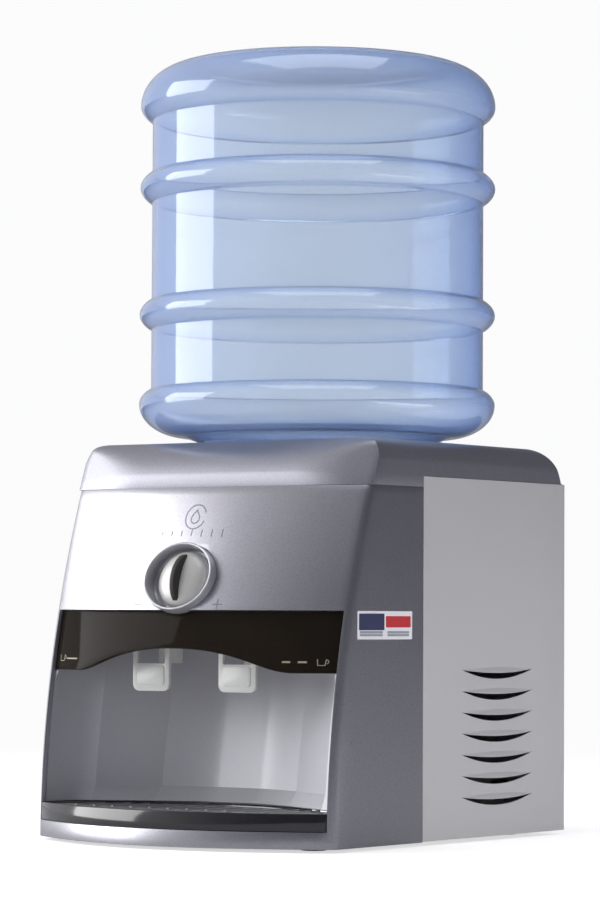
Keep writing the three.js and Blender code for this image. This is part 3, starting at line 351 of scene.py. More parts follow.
def front_row(z):
    """The plan of the front at one height, from the left cheek's back edge round to the right's."""
    nose = [(x, front_y(x, z), z) for x in spread(-HALF + STILE, HALF - STILE, 61)]
    corner = front_y(HALF, z)
    start = corner + STILE
    cheek = [(HALF, y, z) for y in spread(start, CHEEK_BACK, 8)]
    turn = []
    for t in corner_turn[1:-1]:
        x = (1 - t) ** 2 * nose[-1][0] + 2 * t * (1 - t) * (HALF - 0.0006) + t * t * HALF
        y = (1 - t) ** 2 * nose[-1][1] + 2 * t * (1 - t) * (corner + 0.0002) + t * t * start
        turn.append((x, y, z))
    right = turn + cheek
    return [(-x, y, z) for x, y, z in reversed(right)] + nose + right


strip_rows = spread(BASE, BASE + STRIP_TOP, 3)
window_rows = spread(BASE + STRIP_TOP, BASE + PANEL_LOW, 22)
panel_rows = spread(BASE + PANEL_LOW, SEAM, 16)
front_rows = strip_rows + window_rows[1:] + panel_rows[1:]
front_mesh = loops_mesh("front_shell", [front_row(z) for z in front_rows])
shell = bmesh.new()
shell.from_mesh(front_mesh)
window = [face for face in shell.faces
          if abs(face.calc_center_median().x) < HALF - STILE
          and face.calc_center_median().y < CHEEK_BACK - 0.05
          and BASE + STRIP_TOP < face.calc_center_median().z < BASE + PANEL_LOW]
bmesh.ops.delete(shell, geom=window, context="FACES")
shell.to_mesh(front_mesh)
shell.free()
front_shell = walled(add_object("front_shell", front_mesh, silver_plastic), WALL)

KNOB_HEIGHT = 0.190
BEZEL = (0.0303, 0.0263)
knob_z = BASE + KNOB_HEIGHT
knob_slope = 2 * LEAN * KNOB_HEIGHT / (SEAM - BASE) ** 2 + (BOW_BASE - BOW_SEAM) / (SEAM - BASE)
knob_tilt = math.atan(knob_slope)
# knob frame: X across, Y up the panel, Z out of it
knob_place = Matrix.Translation((0, front_y(0, knob_z), knob_z)) @ Matrix.Rotation(math.pi / 2 - knob_tilt,
        4, "X")


def oval_plug(name, width, height, back, front):
    ring = [2 * math.pi * i / 72 for i in range(72)]
    loops = [[knob_place @ Vector((width * math.cos(a), height * math.sin(a), depth)) for a in ring]
             for depth in (back, front)]
    mesh = loops_mesh(name, loops, closed=True, caps=True)
    tidy_mesh(mesh)
    return bpy.data.objects.new(name, mesh)


def drilled(thing, cutter):
    bpy.context.scene.collection.objects.link(cutter)
    hole = thing.modifiers.new("hole", "BOOLEAN")
    hole.operation = "DIFFERENCE"
    hole.solver = "EXACT"
    hole.object = cutter
    settle(thing)
    bpy.data.objects.remove(cutter)
    return thing


drilled(front_shell, oval_plug("bezel_cutter", *BEZEL, -0.018, 0.02))
settle(softened(front_shell, 0.0007, limit=40))
fit(front_shell, "chassis", "silver_plastic", "front_moulding")

# ---- smoked band -----------------------------------------------------------------------------
# A strip of smoked acrylic, glossy on both sides, that closes the top of the alcove and hides the
# taps. It follows the front from behind, and its lower edge is arched over the cup space.
band_low, band_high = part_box("smoked_band")
BAND_INSET = 0.0036
BAND_THICK = 0.003
BAND_LOW = band_low.z
BAND_ARCH = 0.017
ARCH_HALF = 0.098


def bezier(p0, p1, p2, p3, count):
    points = []
    for t in spread(0, 1, count):
        a, b, c, d = (1 - t) ** 3, 3 * t * (1 - t) ** 2, 3 * t * t * (1 - t), t ** 3
        points.append(tuple(a * w + b * x + c * y + d * z for w, x, y, z in zip(p0, p1, p2, p3)))
    return points


left_arch = bezier((-ARCH_HALF, 0), (-ARCH_HALF * 0.75, 0), (-ARCH_HALF * 0.6, BAND_ARCH), (0, BAND_ARCH), 28)
band_edge = [(x, 0.0) for x in spread(band_low.x, -ARCH_HALF, 8)[:-1]] + left_arch
band_edge += [(-x, rise) for x, rise in reversed(band_edge[:-1])]
band_loops = []
for share in spread(0, 1, 10):
    row = []
    for x, rise in band_edge:
        z = (BAND_LOW + rise) * (1 - share) + band_high.z * share
        row.append((x, front_y(x, z) + BAND_INSET, z))
    band_loops.append(row)

smoked_acrylic, tree = material("smoked_acrylic")
place = tree.add("ShaderNodeTexCoord", output="Object")
haze = tree.add("ShaderNodeTexNoise", None, {"Vector": place, "Scale": 30.0, "Detail": 4.0})
dust = tree.add("ShaderNodeTexNoise", None, {"Vector": place, "Scale": 700.0, "Detail": 1.0})
brown = tree.blend(haze, (0.040, 0.030, 0.021, 1), (0.026, 0.020, 0.015, 1))
finished(tree, brown, haze * 0.04 + dust * 0.004 + 0.03, haze, 0.00002,
         {"Transmission Weight": 0.45, "IOR": 1.12, "Specular IOR Level": 0.3})

band = walled(add_object("smoked_window_band", loops_mesh("smoked_window_band", band_loops),
                         smoked_acrylic), BAND_THICK)
drilled(band, oval_plug("bezel_cutter", *BEZEL, -0.018, 0.02))
settle(softened(band, 0.0005, limit=50))
fit(band, "chassis", "smoked_acrylic", "smoked_band")

# ---- alcove liner ----------------------------------------------------------------------------
# One silver-grey moulding behind the front: a flat back wall that leans, flared sides with two
# creases, a cove down to the tray, the ceiling over the taps and the shelf under the tray.
TRAY_RIM = 0.0253
LEDGE = 0.036
CEILING = 0.1685
SHELF = 0.009
ALCOVE_DEPTH = 0.070
ALCOVE_FLAT = 0.042
ALCOVE_SLOPE = math.tan(math.radians(10))
LINER_WALL = 0.0017
liner_grey = moulded("liner_grey", (0.56, 0.565, 0.605, 1), (0.64, 0.645, 0.68, 1), 0.42, grain=700,
                     Metallic=0.20)


def curve3(p0, p1, p2, count):
    return [tuple((1 - t) ** 2 * a + 2 * t * (1 - t) * b + t * t * c for a, b, c in zip(p0, p1, p2))
            for t in spread(0, 1, count)]


def alcove_row(height, front_inset):
    """The alcove's plan at a height above the case's underside, from the left edge to the right."""
    half = HALF - STILE
    elbow = (-half + 0.024, 0.031)
    flare = (-ALCOVE_FLAT - 0.020, ALCOVE_DEPTH - 0.014)
    side = curve3((-half, 0), (-half, 0.026), elbow, 46) + [flare]
    side += curve3(flare, (-ALCOVE_FLAT + 0.012, ALCOVE_DEPTH), (-ALCOVE_FLAT + 0.024, ALCOVE_DEPTH), 14)[1:]
    plan = side + [(0, ALCOVE_DEPTH)] + [(-x, y) for x, y in reversed(side)]
    rise = height - LEDGE
    shift = rise * ALCOVE_SLOPE if rise > 0 else rise
    lean = LEAN * (height / (SEAM - BASE)) ** 2
    z = BASE + height
    lip = front_y(half, z) + front_inset
    row = [(x, CORNER_Y + y + y / ALCOVE_DEPTH * shift + (1 - y / ALCOVE_DEPTH) * lean, z) for x, y in plan]
    row = [(x, max(y, lip + 0.0002), z) for x, y, z in row]
    return [(-half, lip, z)] + row + [(half, lip, z)]


liner_rows = spread(TRAY_RIM, LEDGE, 6) + spread(LEDGE, BAND_LOW - BASE - 0.002, 12)[1:]
upper_rows = spread(BAND_LOW - BASE - 0.0019, CEILING, 6)
liner_loops = [alcove_row(height, BAND_INSET) for height in liner_rows]
liner_loops += [alcove_row(height, BAND_INSET + BAND_THICK + 0.0006) for height in upper_rows]
liner_mesh = loops_mesh("alcove_shell", liner_loops)
liner_mesh.flip_normals()
liner = walled(add_object("alcove_shell", liner_mesh, liner_grey), LINER_WALL)
TAP_OFFSET = 0.039
SHANK_HEIGHT = 0.150
SHANK_HOLE = 0.0073
for tap_x in (-TAP_OFFSET, TAP_OFFSET):
    shank_ring = [2 * math.pi * i / 40 for i in range(40)]
    shank_loops = [[(tap_x + SHANK_HOLE * math.cos(a), y,
                     BASE + SHANK_HEIGHT + SHANK_HOLE * math.sin(a)) for a in shank_ring]
                   for y in (CORNER_Y + 0.05, CORNER_Y + 0.12)]
    shank_mesh = loops_mesh("shank_cutter", shank_loops, closed=True, caps=True)
    tidy_mesh(shank_mesh)
    drilled(liner, bpy.data.objects.new("shank_cutter", shank_mesh))
settle(softened(liner, 0.0004, limit=60), edge=5.6)
fit(liner, "chassis", "liner_plastic", "alcove_liner")


def slab(name, outline, low, high, paint, round_edge=0.0004):
    loops = [[(x, y, z) for x, y in outline] for z in (low, high)]
    mesh = loops_mesh(name, loops, closed=True, caps=True)
    tidy_mesh(mesh)
    return settle(softened(add_object(name, mesh, paint), round_edge))


ceiling_plan = [(x, y) for x, y, z in alcove_row(CEILING, BAND_INSET + BAND_THICK + 0.0006)]
ceiling = slab("alcove_ceiling", ceiling_plan, BASE + CEILING, BASE + CEILING + 0.002, liner_grey)
drilled(ceiling, oval_plug("bezel_cutter", *BEZEL, -0.018, 0.02))
fit(ceiling, "chassis", "liner_plastic")
shelf_plan = [(x, y) for x, y, z in alcove_row(TRAY_RIM, BAND_INSET)]
fit(slab("alcove_shelf", shelf_plan, BASE + SHELF, BASE + SHELF + 0.003, liner_grey), "chassis",
    "liner_plastic")

# ---- taps ------------------------------------------------------------------------------------
# Two white push taps on shanks through the alcove's back wall. A sprung stem closes each one, and
# the broad paddle in front rocks on two pins and lifts the stem when a cup is pushed against it.
warm_white = moulded("warm_white", (0.80, 0.785, 0.74, 1), (0.86, 0.85, 0.81, 1), 0.34, grain=500,
                     **{"Subsurface Weight": 0.08, "Coat Weight": 0.2})
food_plastic = moulded("food_plastic", (0.70, 0.72, 0.74, 1), (0.78, 0.80, 0.81, 1), 0.42, grain=600)


def refined(name, node, paint, round_edge, edge=32):
    """A fairer copy of a plain node: one skin, no needless edges, rounded corners, smooth shading."""
    mesh = nodes[node].data.copy()
    work = bmesh.new()
    work.from_mesh(mesh)
    bmesh.ops.remove_doubles(work, verts=work.verts, dist=0.00001)
    bmesh.ops.dissolve_limit(work, angle_limit=math.radians(0.6), verts=work.verts, edges=work.edges)
    work.to_mesh(mesh)
    work.free()
    return settle(softened(add_object(name, mesh, paint), round_edge, limit=edge), edge)


for side in ("left", "right"):
    fit(refined(f"paddle_{side}", f"tap_lever_{side}", warm_white, 0.0007), f"lever_{side}", "white_plastic",
        f"tap_lever_{side}")
    fit(refined(f"tap_{side}", f"tap_body_{side}", warm_white, 0.0006), "chassis", "white_plastic",
        f"tap_body_{side}")
    fit(refined(f"stem_{side}_rod", f"tap_stem_{side}", food_plastic, 0.0003), f"stem_{side}", "food_plastic",
        f"tap_stem_{side}")
    fit(refined(f"shank_nut_{side}", f"tap_nut_{side}", food_plastic, 0.0005), "chassis", "food_plastic",
        f"tap_nut_{side}")
    x_low, x_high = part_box(f"tap_lever_{side}")
    # a raised pad with rounded corners on the face of the paddle
    pad = [(x_low.x + 0.0042, x_low.z + 0.0040), (x_high.x - 0.0042, x_low.z + 0.0188)]
    corners = []
    for centre_x, centre_z, start in ((pad[1][0] - 0.003, pad[1][1] - 0.003, 0),
                                      (pad[0][0] + 0.003, pad[1][1] - 0.003, 90),
                                      (pad[0][0] + 0.003, pad[0][1] + 0.003, 180), (pad[1][0] - 0.003,
                                              pad[0][1] + 0.003, 270)):
        for step in range(7):
            turn = math.radians(start + step * 15)
            corners.append((centre_x + 0.003 * math.cos(turn), centre_z + 0.003 * math.sin(turn)))
    pad_loops = [[(x, y, z) for x, z in corners] for y in (x_low.y - 0.0006, x_low.y + 0.0004)]
    pad_mesh = loops_mesh(f"paddle_pad_{side}", pad_loops, closed=True, caps=True)
    tidy_mesh(pad_mesh)
    pad_piece = settle(softened(add_object(f"paddle_pad_{side}", pad_mesh, warm_white), 0.00035))
    fit(pad_piece, f"lever_{side}", "white_plastic")

# ---- drip tray and grille --------------------------------------------------------------------
# A gloss-black moulded tray slides in under the taps, and a slotted silver-grey grille lies in its
# rebate. Low ribs across the grille keep a cup off the wet.
gloss_black = moulded("gloss_black", (0.012, 0.012, 0.014, 1), (0.020, 0.020, 0.024, 1), 0.13, grain=260,
                      depth=0.00002, **{"Coat Weight": 0.5, "Coat Roughness": 0.05})
grille_grey = moulded("grille_grey", (0.27, 0.265, 0.28, 1), (0.36, 0.355, 0.37, 1), 0.36, grain=800,
                      Metallic=0.5)
fit(refined("drip_tray_shell", "drip_tray", gloss_black, 0.0006, edge=40), "tray", "gloss_black", "drip_tray")
fit(refined("drip_grille_plate", "drip_grille", grille_grey, 0.0004, edge=40), "grille", "grille_plastic",
    "drip_grille")


def row_of(name, unit, start, step, count, paint):
    """Copies of a small mesh along a straight row, made by Geometry Nodes and returned as a mesh."""
    group = bpy.data.node_groups.new(name, "GeometryNodeTree")
    sockets = {}
    for label, kind in (("Unit", "NodeSocketObject"), ("Count", "NodeSocketInt"),
                        ("Start", "NodeSocketVector"), ("Step", "NodeSocketVector"), ("Finish",
                                "NodeSocketMaterial")):
        sockets[label] = group.interface.new_socket(name=label, in_out="INPUT", socket_type=kind)
    group.interface.new_socket(name="Geometry", in_out="OUTPUT", socket_type="NodeSocketGeometry")
    entry = group.nodes.new("NodeGroupInput")
    line = group.nodes.new("GeometryNodeMeshLine")
    source = group.nodes.new("GeometryNodeObjectInfo")
    copies = group.nodes.new("GeometryNodeInstanceOnPoints")
    real = group.nodes.new("GeometryNodeRealizeInstances")
    painted = group.nodes.new("GeometryNodeSetMaterial")
    way_out = group.nodes.new("NodeGroupOutput")
    for source_socket, target in (
            (entry.outputs["Count"], line.inputs["Count"]), (entry.outputs["Start"],
                    line.inputs["Start Location"]),
            (entry.outputs["Step"], line.inputs["Offset"]), (entry.outputs["Unit"], source.inputs["Object"]),
            (line.outputs["Mesh"], copies.inputs["Points"]), (source.outputs["Geometry"],
                    copies.inputs["Instance"]),
            (copies.outputs["Instances"], real.inputs["Geometry"]), (real.outputs["Geometry"],
                    painted.inputs["Geometry"]),
            (entry.outputs["Finish"], painted.inputs["Material"]), (painted.outputs["Geometry"],
                    way_out.inputs[0])):
        group.links.new(source_socket, target)
    host = bpy.data.objects.new(name, bpy.data.meshes.new(name))
    bpy.context.scene.collection.objects.link(host)
    unit_object = bpy.data.objects.new(name + "_unit", unit)
    bpy.context.scene.collection.objects.link(unit_object)
    nodes_modifier = host.modifiers.new("row", "NODES")
    nodes_modifier.node_group = group
    for label, value in (("Unit", unit_object), ("Count", count), ("Start", start), ("Step", step),
                         ("Finish", paint)):
        nodes_modifier[sockets[label].identifier] = value
    settle(host)
    bpy.data.objects.remove(unit_object)
    return host


def bar_mesh(name, length, width, height):
    """A low bar along Y with a rounded top, centred on the origin."""
    arc = [(width / 2 * math.cos(a), height * math.sin(a)) for a in spread(math.pi, 0, 9)]
    section = [(-width / 2, -height)] + arc + [(width / 2, -height)]
    loops = [[(x, y, z) for x, z in section] for y in spread(-length / 2, length / 2, 3)]
    mesh = loops_mesh(name, loops, closed=True, caps=True)
    tidy_mesh(mesh)
    return mesh


grille_low, grille_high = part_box("drip_grille")
RIB_PITCH = 0.017
ribs = row_of("grille_ribs", bar_mesh("rib", 0.044, 0.0026, 0.0009),
              (-5.5 * RIB_PITCH, grille_low.y + 0.057, grille_high.z),
              (RIB_PITCH, 0, 0), 12, grille_grey)
fit(ribs, "grille", "grille_plastic")

# ---- thermostat knob -------------------------------------------------------------------------
# An oval well snapped into the front panel holds a domed dial that turns on the thermostat's
# shaft. A separate grip stands across the dome as the finger hold; its near-black colour is painted
# shade, standing in for the shadow on its side turned away from the light.
RIM = 0.005
WELL_FLOOR = -0.007
WELL_BACK = -0.0095
WELL_WALL = 0.0018
DIAL_RADIUS = 0.022
DIAL_BACK = WELL_FLOOR + 0.0006
DIAL_EDGE = 0.003
DIAL_DOME = 0.008
bezel_silver = moulded("bezel_silver", (0.50, 0.50, 0.54, 1), (0.60, 0.60, 0.64, 1), 0.36, Metallic=0.45,
                       **{"Coat Weight": 0.3})
knob_cream = moulded("knob_cream", (0.60, 0.59, 0.565, 1), (0.69, 0.68, 0.655, 1), 0.34, Metallic=0.10,
                     **{"Coat Weight": 0.25})
# the grip's near-black base colour is painted shade: the shadow on the fin's side turned from the light, put
# into its colour
grip_grey = moulded("grip_grey", (0.030, 0.027, 0.023, 1), (0.045, 0.040, 0.035, 1), 0.60, grain=1400)


def turned(name, profile, stretch=1.0, count=96):
    """A closed profile of radius and height turned about the knob's axis."""
    loops = [[knob_place @ Vector((r * stretch * math.cos(a), r * math.sin(a), h))
              for a in [2 * math.pi * i / count for i in range(count)]] for r, h in profile]
    mesh = loops_mesh(name, loops, closed=True)
    tidy_mesh(mesh)
    return mesh


BEZEL_STRETCH = 30 / 26
outer = 0.026
inner = outer - WELL_WALL
lip_arc = [((outer + inner) / 2 + WELL_WALL / 2 * math.cos(a), RIM - 0.0009 + 0.0009 * math.sin(a))
           for a in spread(0, math.pi, 9)]
well_profile = [(0.0032, WELL_BACK), (outer - 0.002, WELL_BACK), (outer, WELL_BACK + 0.002)] + lip_arc
well_profile += [(inner, WELL_FLOOR + 0.001), (inner - 0.001, WELL_FLOOR), (0.0032, WELL_FLOOR),
                 (0.0032, WELL_BACK)]
well = add_object("bezel_well", turned("bezel_well", well_profile, BEZEL_STRETCH), bezel_silver)
fit(settle(well), "chassis", "knob_silver", "knob_well")

dome = [((DIAL_RADIUS - 0.0008) * math.cos(a), DIAL_BACK + DIAL_EDGE + DIAL_DOME * math.sin(a))
        for a in spread(0, math.pi / 2, 16)]
dial_profile = [(0, DIAL_BACK), (DIAL_RADIUS - 0.0008, DIAL_BACK), (DIAL_RADIUS, DIAL_BACK + 0.0008),
                (DIAL_RADIUS, DIAL_BACK + DIAL_EDGE - 0.0008)] + dome
dial = add_object("dial_dome", turned("dial_dome", dial_profile), knob_cream)
fit(settle(dial), "dial", "knob_silver", "dial_knob")

# the grip: a fin across the dome, arched along its length, thinner at its crest, with rounded edges
GRIP_HALF = 0.0030
GRIP_REACH = 0.006
grip_length = DIAL_RADIUS * 0.85
dial_crest = DIAL_BACK + DIAL_EDGE


def grip_arch(share):
    """Half-ellipse along the grip, from one end (-1) to the other (1)."""
    return dial_crest + (DIAL_DOME + GRIP_REACH) * math.sqrt(max(0.0, 1 - share * share))


grip_loops = []
for x, drop in ((-GRIP_HALF, 0.0), (-GRIP_HALF, 0.0022), (-GRIP_HALF * 0.55, 0.0), (GRIP_HALF * 0.55, 0.0),
                (GRIP_HALF, 0.0022), (GRIP_HALF, 0.0)):
    base_line = [knob_place @ Vector((x, grip_length * s, dial_crest - 0.001)) for s in spread(-0.96, 0.96,
            33)]
    if drop == 0.0 and abs(x) == GRIP_HALF:
        grip_loops.append(base_line)
    else:
        grip_loops.append([knob_place @ Vector((x, grip_length * s,
                                                max(grip_arch(s) - drop, dial_crest - 0.0009)))
                           for s in spread(-0.96, 0.96, 33)])
grip_mesh = loops_mesh("dial_fin", grip_loops + [grip_loops[0]])
work = bmesh.new()
work.from_mesh(grip_mesh)
bmesh.ops.remove_doubles(work, verts=work.verts, dist=0.00001)
bmesh.ops.holes_fill(work, edges=work.edges)
bmesh.ops.recalc_face_normals(work, faces=work.faces)
work.to_mesh(grip_mesh)
work.free()
grip = settle(softened(add_object("dial_fin", grip_mesh, grip_grey), 0.0005, limit=25), edge=40)
fit(grip, "dial", "grip_grey", "dial_grip")

# ---- printing on the front -------------------------------------------------------------------
# Plain printed marks: a drop inside a ring above the knob, a row of level ticks, and a cup sign
# at each end of the band. None of them is lettering; each is a film a tenth of a millimetre thick.
print_grey, tree = material("print_grey")
place = tree.add("ShaderNodeTexCoord", output="Object")
ink = tree.add("ShaderNodeTexNoise", None, {"Vector": place, "Scale": 1800.0, "Detail": 1.0})
finished(tree, tree.blend(ink, (0.19, 0.19, 0.21, 1), (0.25, 0.25, 0.28, 1)), ink * 0.1 + 0.35, ink,
         0.00001, {"Metallic": 0.5})
print_beige, tree = material("print_beige")
place = tree.add("ShaderNodeTexCoord", output="Object")
ink = tree.add("ShaderNodeTexNoise", None, {"Vector": place, "Scale": 1800.0, "Detail": 1.0})
finished(tree, tree.blend(ink, (0.40, 0.33, 0.24, 1), (0.50, 0.43, 0.33, 1)), ink * 0.1 + 0.45, ink,
         0.00001, {})


def stroke(points, width):
    """A flat line of constant width through points, as a list of left and right pairs."""
    pairs = []
    for i, point in enumerate(points):
        before, after = points[max(i - 1, 0)], points[min(i + 1, len(points) - 1)]
        along = Vector((after[0] - before[0], after[1] - before[1])).normalized()
        off = Vector((-along.y, along.x)) * (width / 2)
        pairs.append(((point[0] + off.x, point[1] + off.y), (point[0] - off.x, point[1] - off.y)))
    return pairs


def printed(name, strokes, face, paint, slot):
    """Strokes drawn in X and Z, laid on a face as thin films."""
    work = bmesh.new()
    for pairs in strokes:
        rows = []
        for lift in (0.00012, -0.00010):
            rows.append([[work.verts.new((x, face(x, z) - lift, z)) for x, z in pair] for pair in pairs])
        for i in range(len(pairs) - 1):
            (a, b), (c, d) = rows[0][i], rows[0][i + 1]
            (e, f), (g, h) = rows[1][i], rows[1][i + 1]
            for corners in ((a, b, d, c), (f, e, g, h), (a, c, g, e), (b, f, h, d)):
                work.faces.new(corners)
        for i in (0, -1):
            (a, b), (e, f) = rows[0][i], rows[1][i]
            work.faces.new((a, e, f, b))
    bmesh.ops.remove_doubles(work, verts=work.verts, dist=0.000001)
    bmesh.ops.recalc_face_normals(work, faces=work.faces)
    mesh = bpy.data.meshes.new(name)
    work.to_mesh(mesh)
    work.free()
    fit(add_object(name, mesh, paint), "chassis", slot)


def ring_points(x, z, radius, start=0, end=360, count=37):
    return [(x + radius * math.cos(math.radians(a)), z + radius * math.sin(math.radians(a)))
            for a in spread(start, end, count)]


EMBLEM_Z = BASE + 0.2345
drop_right = bezier((0, 0.0052), (0.0012, 0.0030), (0.0036, 0.0010), (0.0036, -0.0012), 10)
drop_round = ring_points(0, -0.0012, 0.0036, 0, -180, 14)
drop_left = [(-x, z) for x, z in reversed(drop_right)]
drop = [(x, EMBLEM_Z + z) for x, z in drop_right + drop_round[1:] + drop_left[1:]]
printed("emblem", [stroke(ring_points(0, EMBLEM_Z, 0.0088, 20, 340), 0.0009), stroke(drop, 0.0009)],
        front_y, print_grey, "grip_grey")
TICK_Z = BASE + 0.2225
ticks = [stroke([(x, TICK_Z - 0.0014 - 0.0016 * i / 6), (x, TICK_Z + 0.0014 + 0.0016 * i / 6)], 0.0008)
         for i, x in enumerate(spread(-0.027, 0.027, 7))]
printed("level_ticks", ticks, front_y, print_grey, "grip_grey")
low_mark = [stroke([(-0.040, knob_z - 0.019), (-0.032, knob_z - 0.019)], 0.0009)]
high_mark = [stroke([(0.032, knob_z - 0.019), (0.040, knob_z - 0.019)], 0.0009),
             stroke([(0.036, knob_z - 0.023), (0.036, knob_z - 0.015)], 0.0009)]
printed("dial_marks", low_mark + high_mark, front_y, print_grey, "grip_grey")


def band_face(x, z):
    return front_y(x, z) + BAND_INSET


def cup_sign(x, z):
    """A small cup with a handle beside a level line."""
    wall = [(x - 0.0032, z + 0.0022), (x - 0.0026, z - 0.0022), (x + 0.0022, z - 0.0022),
            (x + 0.0028, z + 0.0022)]
    handle = ring_points(x + 0.0030, z + 0.0003, 0.0014, 80, -80, 9)
    return [stroke(wall, 0.0006), stroke(handle, 0.0005)]


left_sign = cup_sign(-0.118, BAND_LOW + 0.0085) + [stroke([(-0.112, BAND_LOW + 0.0080), (-0.098,
        BAND_LOW + 0.0080)], 0.0010)]
right_sign = cup_sign(0.117, BAND_LOW + 0.0075) + [stroke([(0.090, BAND_LOW + 0.0075), (0.107,
        BAND_LOW + 0.0075)], 0.0013)]
printed("band_signs", left_sign + right_sign, band_face, print_beige, "grip_grey")

# ---- top cover -------------------------------------------------------------------------------
# A deep moulded lid in a darker silver-grey, rounded over on all sides, with a round opening for
# the bottle seat. Behind the cheeks its skirt steps up to clear the sheet-metal sides.
cover_low, cover_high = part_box("top_cover")
COVER_SKIN = 0.003
SIDE_ROUND = 0.015
FRONT_ROUND = 0.030
REAR_ROUND = 0.032
panel_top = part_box("side_panel_right")[1].z
cover_grey = moulded("cover_grey", (0.30, 0.30, 0.345, 1), (0.42, 0.42, 0.46, 1), 0.38, Metallic=0.78,
                     **{"Coat Weight": 0.10})
cover_nose = front_y(0, cover_high.z)
seat_low, seat_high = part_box("bottle_seat")
AXIS_Y = (seat_low.y + seat_high.y) / 2
SEAT_HOLE = 0.0883


def rounded_in(z, rise, points):
    """How far a rounding has drawn in at height z; points are (inset, drop) of its three corners."""
    drop = cover_high.z - z
    if drop >= rise:
        return points[0][0]
    low, high = 0.0, 1.0
    for _ in range(30):
        t = (low + high) / 2
        height = (1 - t) ** 2 * points[0][1] + 2 * t * (1 - t) * points[1][1] + t * t * points[2][1]
        low, high = (t, high) if height > drop else (low, t)
    return (1 - t) ** 2 * points[0][0] + 2 * t * (1 - t) * points[1][0] + t * t * points[2][0]


def cover_row(z):
    side = rounded_in(z, SIDE_ROUND, ((0, SIDE_ROUND), (0.003, 0), (SIDE_ROUND, 0)))
    front = rounded_in(z, FRONT_ROUND, ((-0.004, FRONT_ROUND), (0.006, 0), (FRONT_ROUND - 0.002, 0)))
    rear_corners = ((0, REAR_ROUND), (REAR_ROUND * 0.2, REAR_ROUND * 0.15), (REAR_ROUND, 0))
    rear = rounded_in(z, REAR_ROUND, rear_corners)
    half = HALF - side
    back = cover_high.y - rear
    nose = []
    for x in spread(-half, half, 57):
        lean, brow = front_y(x, z), cover_nose + front
        gap = max(0.0, 0.004 - abs(lean - brow)) / 0.004
        nose.append((x, max(lean, brow) + 0.001 * gap * gap, z))
    low_front = cover_low.z if z < panel_top + 0.0001 else z
    low_rear = max(z, panel_top + 0.0003)
    row = [(x, y, low_front) for x, y, _ in nose]
    start = nose[-1][1]
    sides = [(half, y, low_front) for y in spread(start, CHEEK_BACK, 7)[1:]]
    sides += [(half, y, low_rear) for y in spread(CHEEK_BACK + 0.0001, back - 0.002, 12)]
    rear_row = [(half - 0.002, back, low_rear)] + [(x, back, low_rear) for x in spread(half - 0.012,
            -half + 0.012, 13)]
    rear_row += [(-half + 0.002, back, low_rear)]
    return row + sides + rear_row + [(-x, y, h) for x, y, h in reversed(sides)]


cover_rows = [cover_low.z, panel_top + 0.0006]
cover_rows += [cover_high.z - (cover_high.z - cover_rows[1]) * (1 - t) ** 2 for t in spread(0, 1, 22)[1:]]
cover_mesh = loops_mesh("cover_shell", [cover_row(z) for z in cover_rows], closed=True)
lid = bmesh.new()
lid.from_mesh(cover_mesh)
lid.verts.ensure_lookup_table()
top_ring = lid.verts[-len(cover_row(cover_high.z)):]
seat_ring = [lid.verts.new((SEAT_HOLE * math.cos(a), AXIS_Y + SEAT_HOLE * math.sin(a), cover_high.z))
             for a in [2 * math.pi * i / 96 for i in range(96)]]
rim_edges = [lid.edges.new((seat_ring[i], seat_ring[i - 1])) for i in range(96)]
top_edges = [lid.edges.get((top_ring[i], top_ring[i - 1])) for i in range(len(top_ring))]
bmesh.ops.triangle_fill(lid, edges=rim_edges + top_edges, use_beauty=True)
bmesh.ops.remove_doubles(lid, verts=lid.verts, dist=0.00002)
bmesh.ops.recalc_face_normals(lid, faces=lid.faces)
lid.to_mesh(cover_mesh)
lid.free()
cover = walled(add_object("cover_shell", cover_mesh, cover_grey), COVER_SKIN)
settle(softened(cover, 0.0005, limit=50), edge=32)
fit(cover, "chassis", "cover_plastic", "top_cover")

# ---- metal sides -----------------------------------------------------------------------------
# Two pre-painted steel sheets, satin light grey, folded in at the back. Each has a column of seven
# pressed louvres: a crescent slot under a low hood.
panel_low, panel_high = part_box("side_panel_right")
SHEET = 0.0012
LOUVRES = 7
LOUVRE_PITCH = 0.0156
LOUVRE_LOW = 0.0235
LOUVRE_CENTRE = 0.211
LOUVRE_HALF = 0.0485
louvre_y = CORNER_Y + LOUVRE_CENTRE

silver_sheet, tree = material("silver_sheet")
place = tree.add("ShaderNodeTexCoord", output="Object")
peel = tree.add("ShaderNodeTexNoise", None, {"Vector": place, "Scale": 520.0, "Detail": 2.0})
cloud = tree.add("ShaderNodeTexNoise", None, {"Vector": place, "Scale": 9.0, "Detail": 3.0})
sheet_tone = tree.blend(cloud * 0.6 + peel * 0.3, (0.60, 0.59, 0.60, 1), (0.67, 0.66, 0.67, 1))
finished(tree, sheet_tone, cloud * 0.10 + peel * 0.04 + 0.36, peel, 0.00003,
         {"Metallic": 0.30, "Coat Weight": 0.08})


def kept_flat(thing):
    """Shades the wide flat faces of a sheet flat, so its rounded edges don't bleed across them."""
    for face in thing.data.polygons:
        if max(abs(part) for part in face.normal) > 0.9999:
            face.use_smooth = False
    return thing


def slot_line(control):
    """One edge of a crescent slot: from tip to tip, sagging towards `control` above its foot."""
    tips = 0.007
    return [(louvre_y + LOUVRE_HALF * (2 * t - 1), ((1 - t) ** 2 + t * t) * tips + 2 * t * (1 - t) * control)
            for t in spread(0, 1, 25)]


